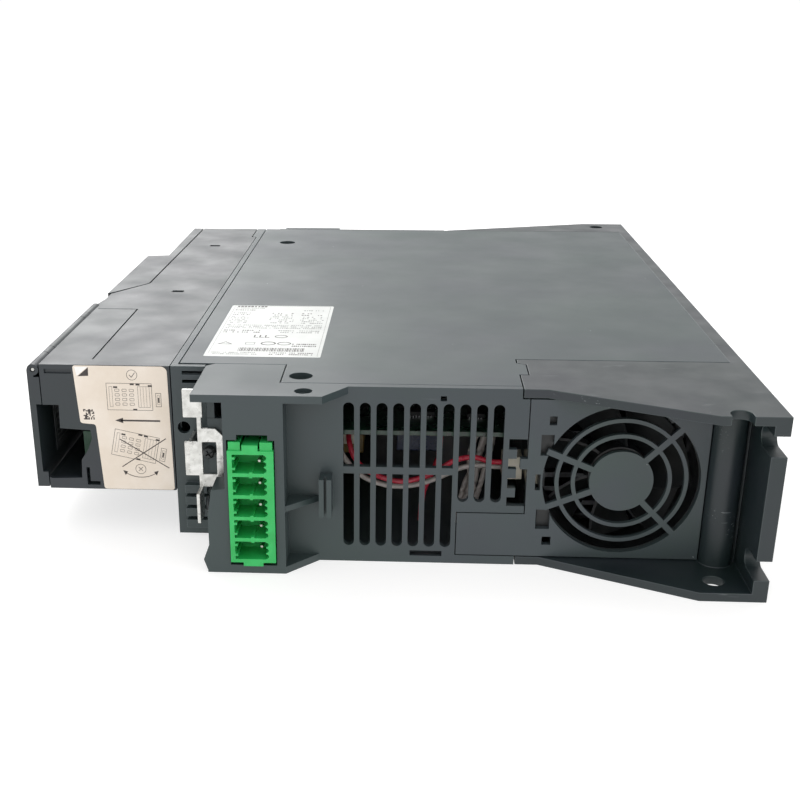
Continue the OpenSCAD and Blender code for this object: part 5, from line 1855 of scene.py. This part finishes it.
@dataclass
class OperatorPanel:
    """Display, lamps, keys and the jog dial on the front."""

    face: float = -119.1
    middle: float = 39.25
    dial_y: float = 18.0
    keys: tuple[tuple[str, str, float, float], ...] = (
        ("mode_key", "mode", 33.0, -12.0), ("escape_key", "escape", 33.0, 12.0),
        ("run_key", "run", 3.0, -12.0), ("stop_key", "stop", 3.0, 12.0))

    def build(self) -> None:
        """Build every control, then the board behind them."""
        self._display()
        self._lamps()
        for node, body, y, dz in self.keys:
            self._key(node, body, y, self.middle + dz)
        self._dial()
        self._behind()

    def _display(self) -> None:
        """Tinted window over four seven-segment digits."""
        low, high = box_mm("display_window")
        Shape().block(low, high, 0.18, 0).piece("display_filter_pane", "control_block", Slot.WINDOW, (GLASS,),
                                                ("display_window",))
        low, high = box_mm("display_digits")
        shape = Shape().block((-117.0, low.y, low.z), (high.x, high.y, high.z), 0.15, 0)
        for number in range(4):
            base_z = self.middle - 14.4 + number * 8
            for y, z, tall, wide, lit in (
                (44.0, 0.9, 0.9, 4.2, True), (49.0, 0.9, 0.9, 4.2, number != 1), (54.2, 0.9, 0.9, 4.2, True),
                (44.8, 0.1, 4.2, 0.9, number != 2), (44.8, 5.0, 4.2, 0.9, True),
                (49.9, 0.1, 4.2, 0.9, True), (49.9, 5.0, 4.2, 0.9, number != 3),
            ):
                bar_low = (-117.45, y, base_z + z)
                bar_high = (-116.95, y + tall, base_z + z + wide)
                shape.block(bar_low, bar_high, 0.12, 1 if lit else 2, 1)
        shape.piece("display_digit_block", "control_block", Slot.DIGIT, (UNLIT, LIT, GLASS), ("display_digits",))

    def _lamps(self) -> None:
        """Three status lamps with domed ends."""
        low, high = box_mm("status_leds")
        shape = Shape()
        for k in (-1, 0, 1):
            shape.lathe([(0, 0), (0.6, 0.08), (1.0, 0.3), (1.2, 0.7), (1.2, high.x - low.x), (0, high.x - low.x)],
                        (low.x, (low.y + high.y) / 2, self.middle + 8 * k), (1, 0, 0), 24, 0)
        shape.piece("status_lamp_set", "control_block", Slot.LED, (LED,), ("status_leds",))

    def _key(self, node: str, body: str, y: float, z: float) -> None:
        """One key with a dished top and a raised sign."""
        low, high = box_mm(node)
        r = 3.4
        long = high.x - low.x
        shape = Shape().lathe([(0, 0.18), (r * 0.55, 0.1), (r * 0.85, 0.02), (r - 0.1, 0.12), (r, 0.4),
                               (r, long - 0.75), (r + 0.9, long - 0.75), (r + 0.9, long), (0, long)],
                              (low.x, y, z), (1, 0, 0), 40, 0)
        sign = low.x + 0.02
        deep = low.x + 0.25
        if body == "run":
            shape.prism([(y - 1.1, z - 1.0), (y + 1.3, z), (y - 1.1, z + 1.0)], Axis.X, sign, deep, 0, 1)
        elif body == "stop":
            shape.prism([(y - 0.9, z - 0.9), (y + 0.9, z - 0.9), (y + 0.9, z + 0.9), (y - 0.9, z + 0.9)], Axis.X,
                        sign, deep, 0, 1)
        elif body == "mode":
            for step in (-0.9, 0.0, 0.9):
                shape.block((sign, y + step - 0.2, z - 1.3), (deep, y + step + 0.2, z + 1.3), 0, 1)
        else:
            for angle in (45, -45):
                shape.block((sign, y - 1.4, z - 0.22), (deep, y + 1.4, z + 0.22), 0, 1,
                            turn=Matrix.Rotation(math.radians(angle), 4, "X"))
        finish, slot = {"run": (KEY_RUN, Slot.KEY_RUN), "stop": (KEY_STOP, Slot.KEY_STOP)}.get(body, (KEY, Slot.KEY))
        shape.piece(f"{node}_cap", body, slot, (finish, LEGEND), (node,))

    def _dial(self) -> None:
        """Jog dial with grips and a finger dimple, and its shaft."""
        MouldedNode("jog_dial", Slot.KEY, KEY, LEGEND, 0.22, 3, "jog_dial_moulding", 40).build()
        shape = Shape()
        shape.lathe([(0, 0), (1.2, 0), (1.44, 0.3), (1.44, 2.6), (2.95, 2.6), (2.95, 6.2), (2.7, 6.5), (0, 6.5)],
                    (-120.6, self.dial_y, self.middle), (1, 0, 0), 48, 0)
        shape.piece("dial_shaft_turned", "shaft", Slot.CONTACT, (BRIGHT_SCREW,), ("dial_shaft",))

    def _behind(self) -> None:
        """Board, switches and encoder behind the face."""
        MouldedNode("hmi_board", Slot.BOARD, SHADED_RESIST, SHADED_LAMINATE, 0.1, 1).build()
        MouldedNode("key_switches", Slot.DARK, DARK, BAY_AND_EDGE_HIGHLIGHT, 0.2).build()
        MouldedNode("encoder", Slot.CONTACT, TIN, TIN, 0.25).build()


@dataclass
class Studio:
    """Floor, soft light and the camera."""

    place: Point = (8.46, -503.47, 177.65)
    heading_deg: float = 3.1235
    tilt_deg: float = -22.1517
    roll_deg: float = -0.0414
    lens: float = 53.555
    shift: tuple[float, float] = (0.0651, 0.1020)
    floor_size: float = 9000.0
    sky: float = 1.02
    key_power: float = 4.5
    floor_glow: float = 0.66

    def build(self) -> None:
        """Set up the floor, world, lamps and camera."""
        self._floor()
        self._light()
        self._camera()

    def _floor(self) -> None:
        """Lay the pale floor under the object."""
        half = self.floor_size / 2
        mesh = bpy.data.meshes.new("floor")
        level = CAD_BOX[0].z / MM - 0.02
        corners = [(-half, -half, level), (half, -half, level), (half, half, level), (-half, half, level)]
        mesh.from_pydata([metres(c) for c in corners], [], [(0, 1, 2, 3)])
        material = bpy.data.materials.new("floor_paper")
        material.use_nodes = True
        shader = material.node_tree.nodes["Principled BSDF"]
        shader.inputs["Base Color"].default_value = (0.46, 0.455, 0.45, 1.0)
        shader.inputs["Roughness"].default_value = 0.7
        shader.inputs["Emission Color"].default_value = (1.0, 1.0, 1.0, 1.0)
        shader.inputs["Emission Strength"].default_value = self.floor_glow
        mesh.materials.append(material)
        floor = bpy.data.objects.new("floor", mesh)
        bpy.context.scene.collection.objects.link(floor)

    def _light(self) -> None:
        """A white sky with one large soft box above and behind."""
        world = bpy.data.worlds.new("sky")
        world.use_nodes = True
        background = world.node_tree.nodes["Background"]
        background.inputs[0].default_value = (1.0, 1.0, 1.0, 1.0)
        background.inputs[1].default_value = self.sky
        bpy.context.scene.world = world
        for name, spot, size, power in (
            ("key", (-250.0, 500.0, 900.0), 700.0, self.key_power),
            ("fill", (350.0, -700.0, 700.0), 500.0, self.key_power * 0.1),
            ("rim", (-550.0, 1400.0, 720.0), 900.0, self.key_power * 0.95),
        ):
            lamp = bpy.data.lights.new(name, "AREA")
            lamp.shape = "DISK"
            lamp.size = size * MM
            lamp.energy = power
            item = bpy.data.objects.new(name, lamp)
            item.location = metres(spot)
            item.rotation_euler = (-item.location).to_track_quat("-Z", "Y").to_euler()
            bpy.context.scene.collection.objects.link(item)
        bpy.context.scene.view_settings.view_transform = "Standard"

    def _camera(self) -> None:
        """Place the camera before the bottom end, looking down on the right side panel."""
        lens = bpy.data.cameras.new("camera")
        lens.sensor_width = 36.0
        lens.lens = self.lens
        lens.shift_x, lens.shift_y = self.shift
        lens.clip_start = 0.01
        lens.clip_end = 30.0
        camera = bpy.data.objects.new("camera", lens)
        yaw, pitch, roll = (math.radians(a) for a in (self.heading_deg, self.tilt_deg, self.roll_deg))
        ahead = Vector((-math.sin(yaw) * math.cos(pitch), math.cos(yaw) * math.cos(pitch), math.sin(pitch)))
        right = Vector((math.cos(yaw), math.sin(yaw), 0.0))
        up = right.cross(ahead)
        turned = right * math.cos(roll) + up * math.sin(roll)
        up = turned.cross(ahead)
        basis = Matrix((turned, up, -ahead)).transposed().to_4x4()
        camera.matrix_world = Matrix.Translation(Vector(metres(self.place))) @ basis
        bpy.context.scene.collection.objects.link(camera)
        bpy.context.scene.camera = camera


def main() -> None:
    """Build every sub-assembly in order."""
    for part in (MountingFrame(), PowerHousing(), PlugConnectors(), EarthClamp(), Nameplate(), PowerStage(),
                 AirChannel(), FanLeads(), FanCartridge(), ControlBlock(), TerminalBay(), OperatorPanel(),
                 PullSticker()):
        log.info("-- %s", type(part).__name__)
        part.build()
    Studio().build()


if __name__ == "__main__":
    logging.basicConfig(level=logging.INFO, format="%(message)s")
    main()
